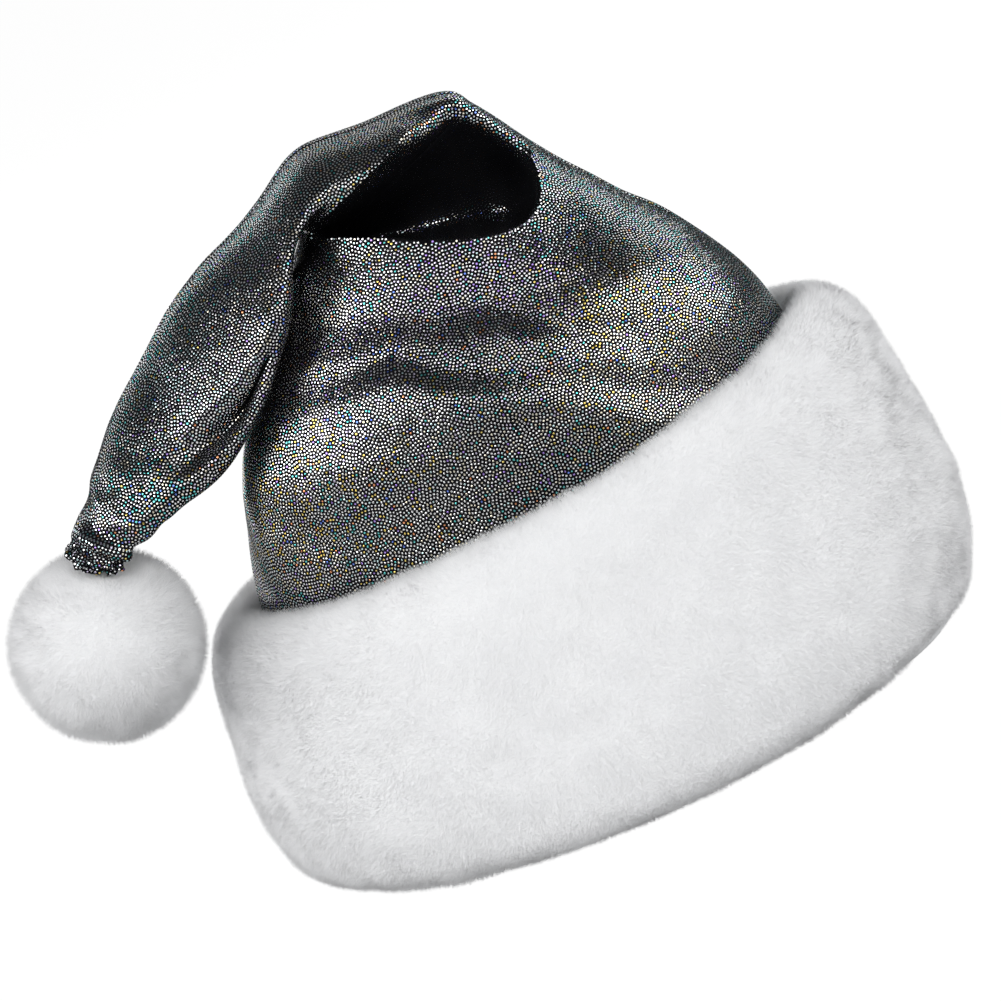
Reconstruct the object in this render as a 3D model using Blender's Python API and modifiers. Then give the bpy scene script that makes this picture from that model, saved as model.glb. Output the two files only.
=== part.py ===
"""Soft party hat in the shape of a Santa hat, worn or stood upright on its cuff.

A two-panel cone of foil-dot knit folds over at its peak, so that its tail hangs down on
the -X side and ends in a plush pompom. A wide padded plush cuff goes round the head opening.
The origin is the centre of the head opening, in the plane of the cuff's lower rim. +Z points
up the hat and -Y is the front. Lengths below are in millimetres, and MM turns them into metres.
"""

import math

import bmesh
import bpy
from mathutils import Vector

MM = 0.001

# Head opening and cuff
OPENING_HALF_WIDTH = 99.0
OPENING_HALF_DEPTH = 73.0
CUFF_SIZE = 35.0            # how far the plush stands out from the opening
CUFF_TOP = 106.0            # where crown and cuff meet, above the rim, at the middle
CUFF_SLANT = 0.088          # the cuff's top edge rises towards +X
RING_STEPS = 40

# Cloth and thread
FABRIC = 0.8
THREAD = 0.35               # radius of a sewing thread's row of stitches
SEAM_GAP = 1.8              # from a panel's edge to its seam
BOXINESS = 2.4              # crown sections: 2 is an ellipse, more is squarer
BOXY_FROM = 3.0             # section by which they are fully so

# Crown and tail, as sections from the cuff to the tail's end. Each section is a closed loop
# through an outer point (right side, then ridge, then top of the tail) and an inner point
# (left side, then the fold, then underside of the tail), with its depth to front and back.
SECTIONS = [
    # outer x, y, z        inner x, y, z       front back
    ((102, 0, 99),         (-103, 0, 81),      77, 77),
    ((101, 0, 117),        (-102, 0, 99),      76, 76),
    ((95, 0, 139),         (-95, 0, 126),      71, 71),
    ((83, 0, 161),         (-88, 0, 146),      64, 64),
    ((69, 0, 179),         (-76, 0, 165),      55, 56),
    ((57, 0, 194),         (-61, 0, 184),      48, 50),
    ((47, 0, 207),         (-48, 0, 199),      42, 46),
    ((39, 0, 218),         (-43, -2, 205),     38, 43),
    ((32, 0, 228),         (-40, -4, 209),     34, 40),
    ((25, 0, 235),         (-38, -7, 213),     30, 37),
    ((0, 0, 236),          (-41, -11, 215),    28, 34),
    ((-27, -1, 237),       (-45, -20, 209),    26, 30),
    ((-50, -4, 229),       (-51, -32, 197),    22, 24),
    ((-74, -9, 219),       (-61, -42, 183),    18, 20),
    ((-98, -16, 204),      (-77, -47, 167),    16, 18),
    ((-118, -23, 189),     (-96, -48, 155),    14, 16),
    ((-133, -30, 174),     (-114, -48, 150),   13, 14),
    ((-145, -36, 160),     (-129, -47, 145),   11, 12),
    ((-153, -41, 151),     (-137, -47, 141),   8, 9),
]
CROWN_END = 10.2            # section where the crown's solids end at the fold
TAIL_START = 10.38
TAIL_END = 17.3

# Dent in the front under the peak. Its lower lip rises from its lowest section to both sides.
DENT_LIP = 4.9
DENT_LIP_TURN = 2.05        # where round the crown the lip is lowest
DENT_LEFT_RISE = 3.1        # sections
DENT_LEFT_TURN = 0.5
DENT_RIGHT_RISE = 1.3
DENT_RIGHT_TURN = 2.85
DENT_TOP = 9.35
DENT_PEAK_RISE = 0.6        # sections by which it reaches higher at the peak
DENT_DEPTH = 40.0
DENT_SINK = 0.3             # how far the pushed-in cloth sinks, as a share of its depth
DENT_SHAPE = (0.5, 1.1)     # how steeply it falls from the lip and comes back at the top
DENT_SIDES = (0.35, 1.0, 2.0, 2.9)   # turns between which it fades in and out again

# Pompom
POMPOM_CENTRE = Vector((-155.0, -37.0, 116.0))
POMPOM_RADIUS = 33.5
COVER_THICKNESS = 5.0       # plush and its backing
GATHER_AXIS = Vector((0.42, -0.20, 0.885)).normalized()
GATHER_DEPTH = 6.5          # dimple where the tail's gathered end is sewn on
DIMPLE_ANGLE = 0.55         # half angle of the dimple, seen from the pompom's centre
MOUTH_ANGLE = 0.15          # half angle of the gathered opening in the cover
POMPOM_STEPS = 24

# Gathered end of the tail: a round bunch that narrows to where it is sewn on
BUNCH_RADIUS = 7.0
BUNCH_ANGLE = math.radians(100.0)
BUNCH_STEPS = 6
BUNCH_NECK = [(5.8, 0.66), (4.6, 0.48), (3.4, 0.27), (2.4, 0.15)]   # radius, share of the length
GATHER_THREAD_AT = 0.53
GATHER_THREAD_RADIUS = 5.5

# Joint axes
FOLD_AXIS = Vector((-8.0, 0.0, 236.5))
BEND_AXIS = Vector((-139.5, -42.5, 151.0))
SWAY_AXIS = POMPOM_CENTRE + (POMPOM_RADIUS - GATHER_DEPTH) * GATHER_AXIS

# Pieces inside the cuff, as offsets out from the head opening
FACING_THICKNESS = 1.2
PADDING_INSIDE = 2.4
PADDING_OUTSIDE = 9.6
PLUSH_INSIDE = 11.0
LINING_INSET = 3.2          # from crown to lining
LINING_BOTTOM = 0.35        # sections where the lining starts and is sewn shut
LINING_TOP = 4.6
LINING_SHUT_DEPTH = 5.0

# Care label, sewn inside the back of the cuff
LABEL_WIDTH = 22.0
LABEL_HEIGHT = 32.0
LABEL_THICKNESS = 0.6
LABEL_TOP = 80.0
LABEL_STANDOFF = 1.1        # from the facing at the middle of the back

# Cuff rings: offset out from the opening, height above the rim, share of the top edge's slant
PLUSH_PROFILE = [
    (PLUSH_INSIDE, 0.0, 0.0), (CUFF_SIZE - 14, 0.0, 0.0), (CUFF_SIZE - 6, 4.0, 0.0),
    (CUFF_SIZE, 12.0, 0.0), (CUFF_SIZE + 2.5, 25.0, 0.0), (CUFF_SIZE + 1.5, 42.0, 0.1),
    (CUFF_SIZE - 1, 66.0, 0.3), (CUFF_SIZE - 4, 90.0, 0.5), (CUFF_SIZE - 8, CUFF_TOP + 2, 0.7),
    (CUFF_SIZE - 15, CUFF_TOP + 9, 0.75), (CUFF_SIZE - 22, CUFF_TOP + 10, 0.8),
    (CUFF_SIZE - 27, CUFF_TOP + 6, 0.95), (CUFF_SIZE - 28, CUFF_TOP - 4, 1.0),
    (PLUSH_INSIDE - 3, CUFF_TOP - 14, 1.0), (PLUSH_INSIDE, CUFF_TOP - 24, 1.0),
    (PLUSH_INSIDE, 42.0, 0.3),
]
PADDING_MIDDLE = (PADDING_INSIDE + PADDING_OUTSIDE) / 2
PADDING_PROFILE = [
    (PADDING_MIDDLE, 3.0, 0.0), (PADDING_OUTSIDE, 7.0, 0.0), (PADDING_OUTSIDE, 42.0, 0.3),
    (PADDING_OUTSIDE, CUFF_TOP - 32, 1.0), (PADDING_MIDDLE, CUFF_TOP - 28, 1.0),
    (PADDING_INSIDE, CUFF_TOP - 32, 1.0), (PADDING_INSIDE, 42.0, 0.3), (PADDING_INSIDE, 7.0, 0.0),
]
FACING_PROFILE = [
    (0.0, 1.5, 0.0), (FACING_THICKNESS, 1.5, 0.0),
    (FACING_THICKNESS, CUFF_TOP - 24, 1.0), (0.0, CUFF_TOP - 24, 1.0),
]

# Rows of stitches right round the opening: place as above, and thread
RING_STITCHES = {
    "cuff_top_stitching": (4.0, CUFF_TOP - 21, 1.0, "black_thread"),
    "facing_top_stitching": (0.6, CUFF_TOP - 22.8, 1.0, "white_thread"),
    "cuff_hem_stitching": (6.0, 1.2, 0.0, "white_thread"),
}
CLOSING_SEAM_HEIGHTS = (6.0, 25.0, 50.0, 75.0)


def clear_scene():
    """Remove every object, so that only the hat is built."""
    for old in list(bpy.data.objects):
        bpy.data.objects.remove(old)


def material(name, colour, roughness, metallic=0.0):
    """One Principled material."""
    made = bpy.data.materials.new(name)
    made.use_nodes = True
    shader = made.node_tree.nodes["Principled BSDF"]
    shader.inputs["Base Color"].default_value = (*colour, 1.0)
    shader.inputs["Roughness"].default_value = roughness
    shader.inputs["Metallic"].default_value = metallic
    return made


def add_object(name, data, look, collection):
    """Put data into the hat's collection under its node name."""
    made = bpy.data.objects.new(name, data)
    data.materials.append(look)
    collection.objects.link(made)
    return made


def add_mesh(name, points, faces, look, collection):
    """A smooth mesh object from points in millimetres."""
    data = bpy.data.meshes.new(name)
    data.from_pydata([Vector(point) * MM for point in points], [], faces)
    data.shade_smooth()
    return add_object(name, data, look, collection)


def add_empty(name, place, collection, parent=None):
    """An empty on a joint's axis, which carries the moving pieces."""
    made = bpy.data.objects.new(name, None)
    made.location = place * MM
    collection.objects.link(made)
    if parent:
        carry(made, parent)
    return made


def carry(piece, empty):
    """Parent a piece to an empty and keep the piece where it is."""
    bpy.context.view_layer.update()
    piece.parent = empty
    piece.matrix_parent_inverse = empty.matrix_world.inverted()


def smooth_value(a, b, c, d, share):
    """Catmull-Rom curve between b and c."""
    return 0.5 * (2 * b + (c - a) * share + (2 * a - 5 * b + 4 * c - d) * share ** 2
                  + (3 * b - a - 3 * c + d) * share ** 3)


def section(place):
    """Outer point, inner point, front and back depth at a place along the sections."""
    first = min(int(place), len(SECTIONS) - 2)
    share = place - first
    rows = []
    for step in (-1, 0, 1, 2):
        row = SECTIONS[max(0, min(len(SECTIONS) - 1, first + step))]
        rows.append((*row[0], *row[1], row[2], row[3]))
    values = [smooth_value(*column, share) for column in zip(*rows)]
    return Vector(values[0:3]), Vector(values[3:6]), values[6], values[7]


def ease(value, low, high):
    """Smooth step from 0 at low to 1 at high."""
    share = max(0.0, min(1.0, (value - low) / (high - low)))
    return share * share * (3 - 2 * share)


def dent(place, turn):
    """How far the front is pushed in under the peak, at a place and a turn from 0 to pi."""
    lip = DENT_LIP + DENT_LEFT_RISE * (1 - ease(turn, DENT_LEFT_TURN, DENT_LIP_TURN))
    lip += DENT_RIGHT_RISE * ease(turn, DENT_LIP_TURN, DENT_RIGHT_TURN)
    top = DENT_TOP + DENT_PEAK_RISE * ease(turn, DENT_LIP_TURN, DENT_RIGHT_TURN)
    share = (place - lip) / (top - lip)
    if not 0.0 < share < 1.0:
        return 0.0
    rise, fall = DENT_SHAPE
    deepest = rise / (rise + fall)
    along = share ** rise * (1 - share) ** fall
    along /= deepest ** rise * (1 - deepest) ** fall
    left_start, left_end, right_start, right_end = DENT_SIDES
    across = ease(turn, left_start, left_end) * (1 - ease(turn, right_start, right_end))
    return DENT_DEPTH * along * across


def power(value, exponent):
    """Signed power."""
    return math.copysign(abs(value) ** exponent, value)


def boxiness(place):
    """How square a section is, from an ellipse in the cuff upwards."""
    return 2 + (BOXINESS - 2) * min(1.0, place / BOXY_FROM)


def crown_point(place, turn, inset=0.0):
    """Point on the crown or tail. turn runs from 0 at the inner point, over the front at
    pi / 2, to pi at the outer point, and back over the rear to 2 pi."""
    outer, inner, front, back = section(place)
    half = (outer - inner) / 2
    half *= 1 - inset / half.length
    exponent = 2 / boxiness(place)
    depth = (front if turn <= math.pi else back) - inset
    point = (outer + inner) / 2 - half * power(math.cos(turn), exponent)
    point.y -= depth * power(math.sin(turn), exponent)
    if turn < math.pi:
        pushed = dent(place, turn)
        point.y += pushed
        point.z -= DENT_SINK * pushed
    return point


def seam_turn(place, side):
    """Turn at which a panel stops short of its seam."""
    front, back = section(place)[2:4]
    depth = front if side == "front" else back
    return math.asin((SEAM_GAP / depth) ** (boxiness(place) / 2))


def panel(name, side, start, end, rows, columns, look, collection, surface=crown_point):
    """A cloth panel between both side seams, as an open sheet made solid."""
    points = []
    for row in range(rows + 1):
        place = start + (end - start) * row / rows
        edge = seam_turn(place, side)
        for column in range(columns + 1):
            turn = edge + (math.pi - 2 * edge) * column / columns
            if side == "back":
                turn += math.pi
            points.append(surface(place, turn))
    faces = []
    for row in range(rows):
        for column in range(columns):
            corner = row * (columns + 1) + column
            faces.append((corner, corner + 1, corner + columns + 2, corner + columns + 1))
    made = add_mesh(name, points, faces, look, collection)
    solid = made.modifiers.new("Cloth", "SOLIDIFY")
    solid.thickness = FABRIC * MM
    solid.offset = 0.0
    return made


def thread(name, points, look, collection, closed=False, radius=THREAD):
    """A row of stitches as one thin tube."""
    data = bpy.data.curves.new(name, "CURVE")
    data.dimensions = "3D"
    data.bevel_depth = radius * MM
    data.bevel_resolution = 1
    data.use_fill_caps = True
    spline = data.splines.new("POLY")
    spline.points.add(len(points) - 1)
    for knot, point in zip(spline.points, points):
        knot.co = (*(Vector(point) * MM), 1.0)
    spline.use_cyclic_u = closed
    return add_object(name, data, look, collection)


def opening_point(angle, offset, height, slanted=0.0):
    """Point at an offset out from the head opening. slanted is 1 on the cuff's top edge."""
    around = Vector((math.cos(angle), math.sin(angle), 0.0))
    point = Vector((OPENING_HALF_WIDTH * around.x, OPENING_HALF_DEPTH * around.y, 0.0))
    outward = Vector((around.x / OPENING_HALF_WIDTH, around.y / OPENING_HALF_DEPTH, 0.0))
    point += outward.normalized() * offset
    point.z = height + slanted * CUFF_SLANT * point.x
    return point


def ring(name, profile, look, collection):
    """A closed ring round the head opening. profile holds offset, height and slant."""
    points = []
    for step in range(RING_STEPS):
        angle = 2 * math.pi * step / RING_STEPS
        points += [opening_point(angle, *corner) for corner in profile]
    count = len(profile)
    faces = []
    for step in range(RING_STEPS):
        here = step * count
        there = (step + 1) % RING_STEPS * count
        for corner in range(count):
            after = (corner + 1) % count
            faces.append((here + corner, there + corner, there + after, here + after))
    return add_mesh(name, points, faces, look, collection)


def ring_thread(name, offset, height, slanted, look, collection):
    """Stitches that go right round the head opening."""
    points = []
    for step in range(RING_STEPS):
        angle = 2 * math.pi * step / RING_STEPS
        points.append(opening_point(angle, offset, height, slanted))
    return thread(name, points, look, collection, closed=True)


def seam_thread(name, start, end, steps, turn, look, collection, surface=crown_point):
    """Stitches along a side seam of the crown, the tail or the lining."""
    points = []
    for step in range(steps + 1):
        points.append(surface(start + (end - start) * step / steps, turn))
    points[0] = points[0].lerp(points[1], 0.1)
    points[-1] = points[-1].lerp(points[-2], 0.1)
    return thread(name, points, look, collection)


def lining_point(place, turn):
    """Point on the lining, a bag inside the crown that closes towards its top seam."""
    point = crown_point(place, turn, LINING_INSET)
    closing = max(0.0, place - 1.0) / (LINING_TOP - 1.0)
    if abs(point.y) > LINING_SHUT_DEPTH:
        beyond = (abs(point.y) - LINING_SHUT_DEPTH) * (1 - closing ** 2)
        point.y = math.copysign(LINING_SHUT_DEPTH + beyond, point.y)
    return point


def build_crown(looks, hat, collection):
    """Front and back crown panels with their side seams."""
    for side in ("front", "back"):
        name = f"crown_{side}_panel"
        carry(panel(name, side, 0.0, CROWN_END, 16, 16, looks["foil_knit"], collection), hat)
    for label, turn in (("left", 0.0), ("right", math.pi)):
        name = f"crown_{label}_seam"
        carry(seam_thread(name, 0.0, CROWN_END, 16, turn, looks["black_thread"], collection), hat)


def build_lining(looks, hat, collection):
    """Lining panels, their side seams and the seam that shuts the top."""
    for side in ("front", "back"):
        name = f"lining_{side}_panel"
        carry(panel(name, side, LINING_BOTTOM, LINING_TOP, 8, 14, looks["lining"],
                    collection, lining_point), hat)
    for label, turn in (("left", 0.0), ("right", math.pi)):
        name = f"lining_{label}_seam"
        carry(seam_thread(name, LINING_BOTTOM, LINING_TOP, 8, turn,
                          looks["black_thread"], collection, lining_point), hat)
    left = lining_point(LINING_TOP, 0.0)
    right = lining_point(LINING_TOP, math.pi)
    steps = 10
    points = [left.lerp(right, 0.03 + 0.94 * step / steps) for step in range(steps + 1)]
    carry(thread("lining_top_seam", points, looks["black_thread"], collection), hat)


def build_cuff(looks, hat, collection):
    """Plush band, padding, inner facing and the stitching of the cuff."""
    carry(ring("cuff_plush", PLUSH_PROFILE, looks["plush"], collection), hat)
    carry(ring("cuff_padding", PADDING_PROFILE, looks["padding"], collection), hat)
    carry(ring("cuff_facing", FACING_PROFILE, looks["facing"], collection), hat)
    for name, (offset, height, slanted, look) in RING_STITCHES.items():
        carry(ring_thread(name, offset, height, slanted, looks[look], collection), hat)
    points = [opening_point(math.pi / 2, PLUSH_INSIDE - 0.7, height) for height in CLOSING_SEAM_HEIGHTS]
    carry(thread("cuff_closing_seam", points, looks["white_thread"], collection, radius=0.3), hat)


def build_label(looks, hat, collection):
    """Blank care label inside the back of the cuff, with the stitches that hold it."""
    centre = opening_point(math.pi / 2, 0.0, LABEL_TOP - LABEL_HEIGHT / 2)
    centre.y -= LABEL_STANDOFF
    half = Vector((LABEL_WIDTH, LABEL_THICKNESS, LABEL_HEIGHT)) / 2
    shape = bmesh.new()
    bmesh.ops.create_cube(shape, size=1.0)
    for corner in shape.verts:
        corner.co = (centre + Vector([2 * a * b for a, b in zip(half, corner.co)])) * MM
    data = bpy.data.meshes.new("care_label")
    shape.to_mesh(data)
    shape.free()
    carry(add_object("care_label", data, looks["label"], collection), hat)
    left = centre + Vector((-half.x + 1, -half.y - 0.6, half.z - 2))
    right = left + Vector((LABEL_WIDTH - 2, 0, 0))
    carry(thread("care_label_stitching", [left, right], looks["white_thread"], collection, radius=0.25), hat)


def build_tail(looks, tail, collection):
    """Front and back tail panels with their seams along the ridge and the underside."""
    for side in ("front", "back"):
        name = f"tail_{side}_panel"
        carry(panel(name, side, TAIL_START, TAIL_END, 14, 10, looks["foil_knit"], collection), tail)
    for label, turn in (("lower", 0.0), ("upper", math.pi)):
        name = f"tail_{label}_seam"
        carry(seam_thread(name, TAIL_START, TAIL_END, 14, turn, looks["black_thread"],
                          collection), tail)


def turned(name, profile, place, axis, look, collection):
    """A turned solid from a profile of radius and height, with its +Z along axis."""
    data = bpy.data.meshes.new(name)
    points = [Vector((radius, 0.0, height)) * MM for radius, height in profile]
    data.from_pydata(points, [(step, step + 1) for step in range(len(points) - 1)], [])
    made = add_object(name, data, look, collection)
    made.location = place * MM
    made.rotation_mode = "QUATERNION"
    made.rotation_quaternion = axis.to_track_quat("Z", "Y")
    screw = made.modifiers.new("Turn", "SCREW")
    screw.steps = POMPOM_STEPS
    screw.render_steps = POMPOM_STEPS
    screw.use_merge_vertices = True
    screw.merge_threshold = 0.00001
    screw.use_smooth_shade = True
    return made


def pompom_radius(angle):
    """Radius of the pompom at an angle from its gathered top."""
    if angle > DIMPLE_ANGLE:
        return POMPOM_RADIUS
    return POMPOM_RADIUS - GATHER_DEPTH * math.cos(math.pi / 2 * angle / DIMPLE_ANGLE) ** 2


def pompom_profile(inset, start, end, steps):
    """Points on the pompom's profile, an inset below its surface."""
    points = []
    for step in range(steps + 1):
        angle = start + (end - start) * step / steps
        radius = pompom_radius(angle) - inset
        points.append((radius * math.sin(angle), radius * math.cos(angle)))
    return points


def circle(centre, axis, radius, steps):
    """Points round a circle."""
    turn = axis.to_track_quat("Z", "Y")
    points = []
    for step in range(steps):
        angle = 2 * math.pi * step / steps
        points.append(centre + turn @ Vector((radius * math.cos(angle), radius * math.sin(angle), 0.0)))
    return points


def build_tail_end(looks, bend, collection):
    """The tail's gathered end, a round bunch of cloth, with the thread that draws it in."""
    axis = (BEND_AXIS - SWAY_AXIS).normalized()
    length = (BEND_AXIS - SWAY_AXIS).length
    profile = [(0.0, length + BUNCH_RADIUS)]
    for step in range(1, BUNCH_STEPS + 1):
        angle = BUNCH_ANGLE * step / BUNCH_STEPS
        profile.append((BUNCH_RADIUS * math.sin(angle), length + BUNCH_RADIUS * math.cos(angle)))
    profile += [(radius, length * share) for radius, share in BUNCH_NECK]
    profile.append((0.0, profile[-1][1]))
    carry(turned("gathered_tail_end", profile, SWAY_AXIS, axis, looks["foil_knit"], collection), bend)
    loop = circle(SWAY_AXIS + axis * length * GATHER_THREAD_AT, axis, GATHER_THREAD_RADIUS, 16)
    carry(thread("tail_gather_thread", loop, looks["black_thread"], collection, closed=True), bend)


def build_pompom(looks, sway, collection):
    """Plush cover gathered round a ball of filling, its gather thread and its tie."""
    inside = pompom_profile(COVER_THICKNESS, math.pi, MOUTH_ANGLE, 14)
    outside = pompom_profile(0.0, MOUTH_ANGLE, math.pi, 18)
    inside[0] = (0.0, inside[0][1])
    outside[-1] = (0.0, outside[-1][1])
    cover = turned("pompom_cover", inside + outside, POMPOM_CENTRE, GATHER_AXIS, looks["plush"], collection)
    carry(cover, sway)
    stuffing = pompom_profile(COVER_THICKNESS + 0.6, MOUTH_ANGLE, math.pi, 14)
    stuffing.insert(0, (0.0, stuffing[0][1]))
    stuffing[-1] = (0.0, stuffing[-1][1])
    carry(turned("pompom_filling", stuffing, POMPOM_CENTRE, GATHER_AXIS, looks["padding"], collection), sway)
    middle = SWAY_AXIS - GATHER_AXIS * COVER_THICKNESS / 2
    loop = circle(middle, GATHER_AXIS, 2.3, 12)
    carry(thread("pompom_gather_thread", loop, looks["white_thread"], collection, closed=True), sway)
    tie = [SWAY_AXIS - GATHER_AXIS * depth for depth in (-1.2, COVER_THICKNESS - 1.2)]
    carry(thread("pompom_tie_thread", tie, looks["black_thread"], collection, radius=0.8), sway)


def build():
    """The whole hat."""
    clear_scene()
    collection = bpy.data.collections.new("party_hat")
    bpy.context.scene.collection.children.link(collection)
    looks = {
        "foil_knit": material("foil_knit", (0.10, 0.11, 0.11), 0.35, 0.6),
        "plush": material("plush", (0.86, 0.87, 0.88), 0.95),
        "padding": material("padding", (0.93, 0.93, 0.92), 1.0),
        "facing": material("facing", (0.90, 0.90, 0.90), 0.8),
        "lining": material("lining", (0.04, 0.04, 0.045), 0.6),
        "label": material("label", (0.92, 0.92, 0.90), 0.5),
        "black_thread": material("black_thread", (0.02, 0.02, 0.02), 0.7),
        "white_thread": material("white_thread", (0.85, 0.85, 0.84), 0.7),
    }
    hat = add_empty("hat_frame", Vector((0, 0, 0)), collection)
    tail = add_empty("tail_fold_axis", FOLD_AXIS, collection, hat)
    bend = add_empty("tail_bend_axis", BEND_AXIS, collection, tail)
    sway = add_empty("pompom_sway_axis", SWAY_AXIS, collection, bend)
    build_cuff(looks, hat, collection)
    build_label(looks, hat, collection)
    build_lining(looks, hat, collection)
    build_crown(looks, hat, collection)
    build_tail(looks, tail, collection)
    build_tail_end(looks, bend, collection)
    build_pompom(looks, sway, collection)


build()
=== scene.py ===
"""Looks of the soft party hat: foil-dot cloth, lining, facing, label, stitches, plush cuff and pompom.

Lengths are in millimetres, as in the CAD model, and MM turns them into metres. +Z points up the
hat and -Y is the front. All that is random comes from seeded generators, so each run is the same.
"""

import itertools
import math

import bmesh
import bpy
import numpy as np
from mathutils import Matrix, Vector


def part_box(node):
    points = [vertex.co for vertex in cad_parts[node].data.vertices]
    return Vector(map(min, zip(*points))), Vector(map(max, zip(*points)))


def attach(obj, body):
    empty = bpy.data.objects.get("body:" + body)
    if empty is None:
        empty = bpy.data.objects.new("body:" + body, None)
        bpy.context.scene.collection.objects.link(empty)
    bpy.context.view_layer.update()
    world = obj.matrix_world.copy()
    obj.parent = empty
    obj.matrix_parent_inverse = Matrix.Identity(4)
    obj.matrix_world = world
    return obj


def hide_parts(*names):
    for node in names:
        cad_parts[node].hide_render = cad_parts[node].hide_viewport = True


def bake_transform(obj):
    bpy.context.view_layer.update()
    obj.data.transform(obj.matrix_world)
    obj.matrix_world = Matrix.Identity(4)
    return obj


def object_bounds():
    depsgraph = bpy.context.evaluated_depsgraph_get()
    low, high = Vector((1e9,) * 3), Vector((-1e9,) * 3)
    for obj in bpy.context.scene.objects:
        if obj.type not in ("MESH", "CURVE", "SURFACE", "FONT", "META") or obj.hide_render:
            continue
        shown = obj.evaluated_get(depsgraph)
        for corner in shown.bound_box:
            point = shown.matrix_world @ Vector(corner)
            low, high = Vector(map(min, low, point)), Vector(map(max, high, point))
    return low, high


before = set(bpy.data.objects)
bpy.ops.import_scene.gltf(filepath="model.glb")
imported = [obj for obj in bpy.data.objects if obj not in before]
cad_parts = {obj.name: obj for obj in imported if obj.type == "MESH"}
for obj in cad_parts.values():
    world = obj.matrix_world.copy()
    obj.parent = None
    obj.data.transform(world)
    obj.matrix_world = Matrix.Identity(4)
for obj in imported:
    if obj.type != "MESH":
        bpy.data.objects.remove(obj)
CAD_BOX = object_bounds()

MM = 0.001

# Camera: the hat is seen from the front, a little from above, with the camera rolled
CAMERA_ELEVATION = math.radians(12.0)
CAMERA_ROLL = math.radians(24.0)
CAMERA_DISTANCE = 1.726
CAMERA_FIELD = 0.3453        # width of the view at the target
TARGET_OFFSET = Vector((0.0117, 0.0, -0.0206))   # from the middle of the hat's box
SENSOR_WIDTH = 36.0

# Soft lights: name, azimuth from the front, power
PANELS = (("front_panel", 0.0, 11.5), ("left_panel", -65.0, 34.0), ("right_panel", 65.0, 29.0),
          ("rear_left_panel", -130.0, 7.0), ("rear_right_panel", 130.0, 14.0),
          ("back_panel", 180.0, 8.0))
PANEL_DISTANCE = 2.2
PANEL_ELEVATION = math.radians(30.0)
PANEL_SIZE = (2.8, 1.15)
PANEL_TARGET = (0.0, 0.0, 0.12)
FLOOR_HALF_SIZE = 6000.0
FLOOR_HEIGHT = -0.1
FLOOR_GLOW = 1.05            # brightness of the floor and the surroundings to the camera
FLOOR_GLOW_SHARE = 0.93
BACKDROP_GLOW = 1.15
FILL_COLOUR = (0.93, 0.96, 1.0)
FILL_POWER = 0.11

# Crown and tail, as in the CAD: outer x, y, z, inner x, y, z, front and back depth
SECTIONS = np.array([
    (102, 0, 99, -103, 0, 81, 77, 77), (101, 0, 117, -102, 0, 99, 76, 76),
    (95, 0, 139, -95, 0, 126, 71, 71), (83, 0, 161, -88, 0, 146, 64, 64),
    (69, 0, 179, -76, 0, 165, 55, 56), (57, 0, 194, -61, 0, 184, 48, 50),
    (47, 0, 207, -48, 0, 199, 42, 46), (39, 0, 218, -43, -2, 205, 38, 43),
    (32, 0, 228, -40, -4, 209, 34, 40), (25, 0, 235, -38, -7, 213, 30, 37),
    (0, 0, 236, -41, -11, 215, 28, 34), (-27, -1, 237, -45, -20, 209, 26, 30),
    (-50, -4, 229, -51, -32, 197, 22, 24), (-74, -9, 219, -61, -42, 183, 18, 20),
    (-98, -16, 204, -77, -47, 167, 16, 18), (-118, -23, 189, -96, -48, 155, 14, 16),
    (-133, -30, 174, -114, -48, 150, 13, 14), (-145, -36, 160, -129, -47, 145, 11, 12),
    (-153, -41, 151, -137, -47, 141, 8, 9), (-151.5, -44, 145.5, -140, -48, 140, 6, 6),
    (-147, -44.5, 141.5, -143.5, -45.5, 140.5, 2, 2),
], float)
BOXINESS = 2.4
BOXY_FROM = 3.0
DENT_LIP = 4.9              # lower lip of the dent under the peak, where it reaches lowest
DENT_LIP_TURN = 2.05
DENT_LEFT_RISE = 3.1        # the lip rises by so many sections to the left, up to a turn
DENT_LEFT_TURN = 0.5
DENT_RIGHT_RISE = 1.3       # and by so many to the right
DENT_RIGHT_TURN = 2.85
DENT_TOP = 9.35
DENT_PEAK_RISE = 0.6        # sections by which it reaches higher at the peak
DENT_DEPTH = 40.0
DENT_SINK = 0.3             # how far the pushed-in cloth sinks, as a share of its depth
DENT_SHAPE = (0.5, 1.1)     # how steeply it starts at the lip and ends at the top
DENT_SHAPE_MOST = 0.394     # the largest value of that curve
DENT_SIDES = (0.35, 1.0, 2.0, 2.9)      # turns where it starts, is full, still is full, and ends
PANEL_END = 17.3            # where the panels go over into the gathered end
CLOTH_END = 20.0            # where the cloth is drawn shut
CLOTH_ROWS_PER_SECTION = 15
CLOTH_COLUMNS = 130
END_ROWS = 60
END_COLUMNS = 200
CLOTH_THICKNESS = 0.5

# The cloth bends over the fold between two sections, and where the tail narrows into its end
FOLD_FROM = 8.6
FOLD_TO = 12.2
CLOTH_PARTS = (("crown", 0.0, FOLD_FROM), ("fold", FOLD_FROM, FOLD_TO), ("tail", FOLD_TO, PANEL_END))

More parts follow.
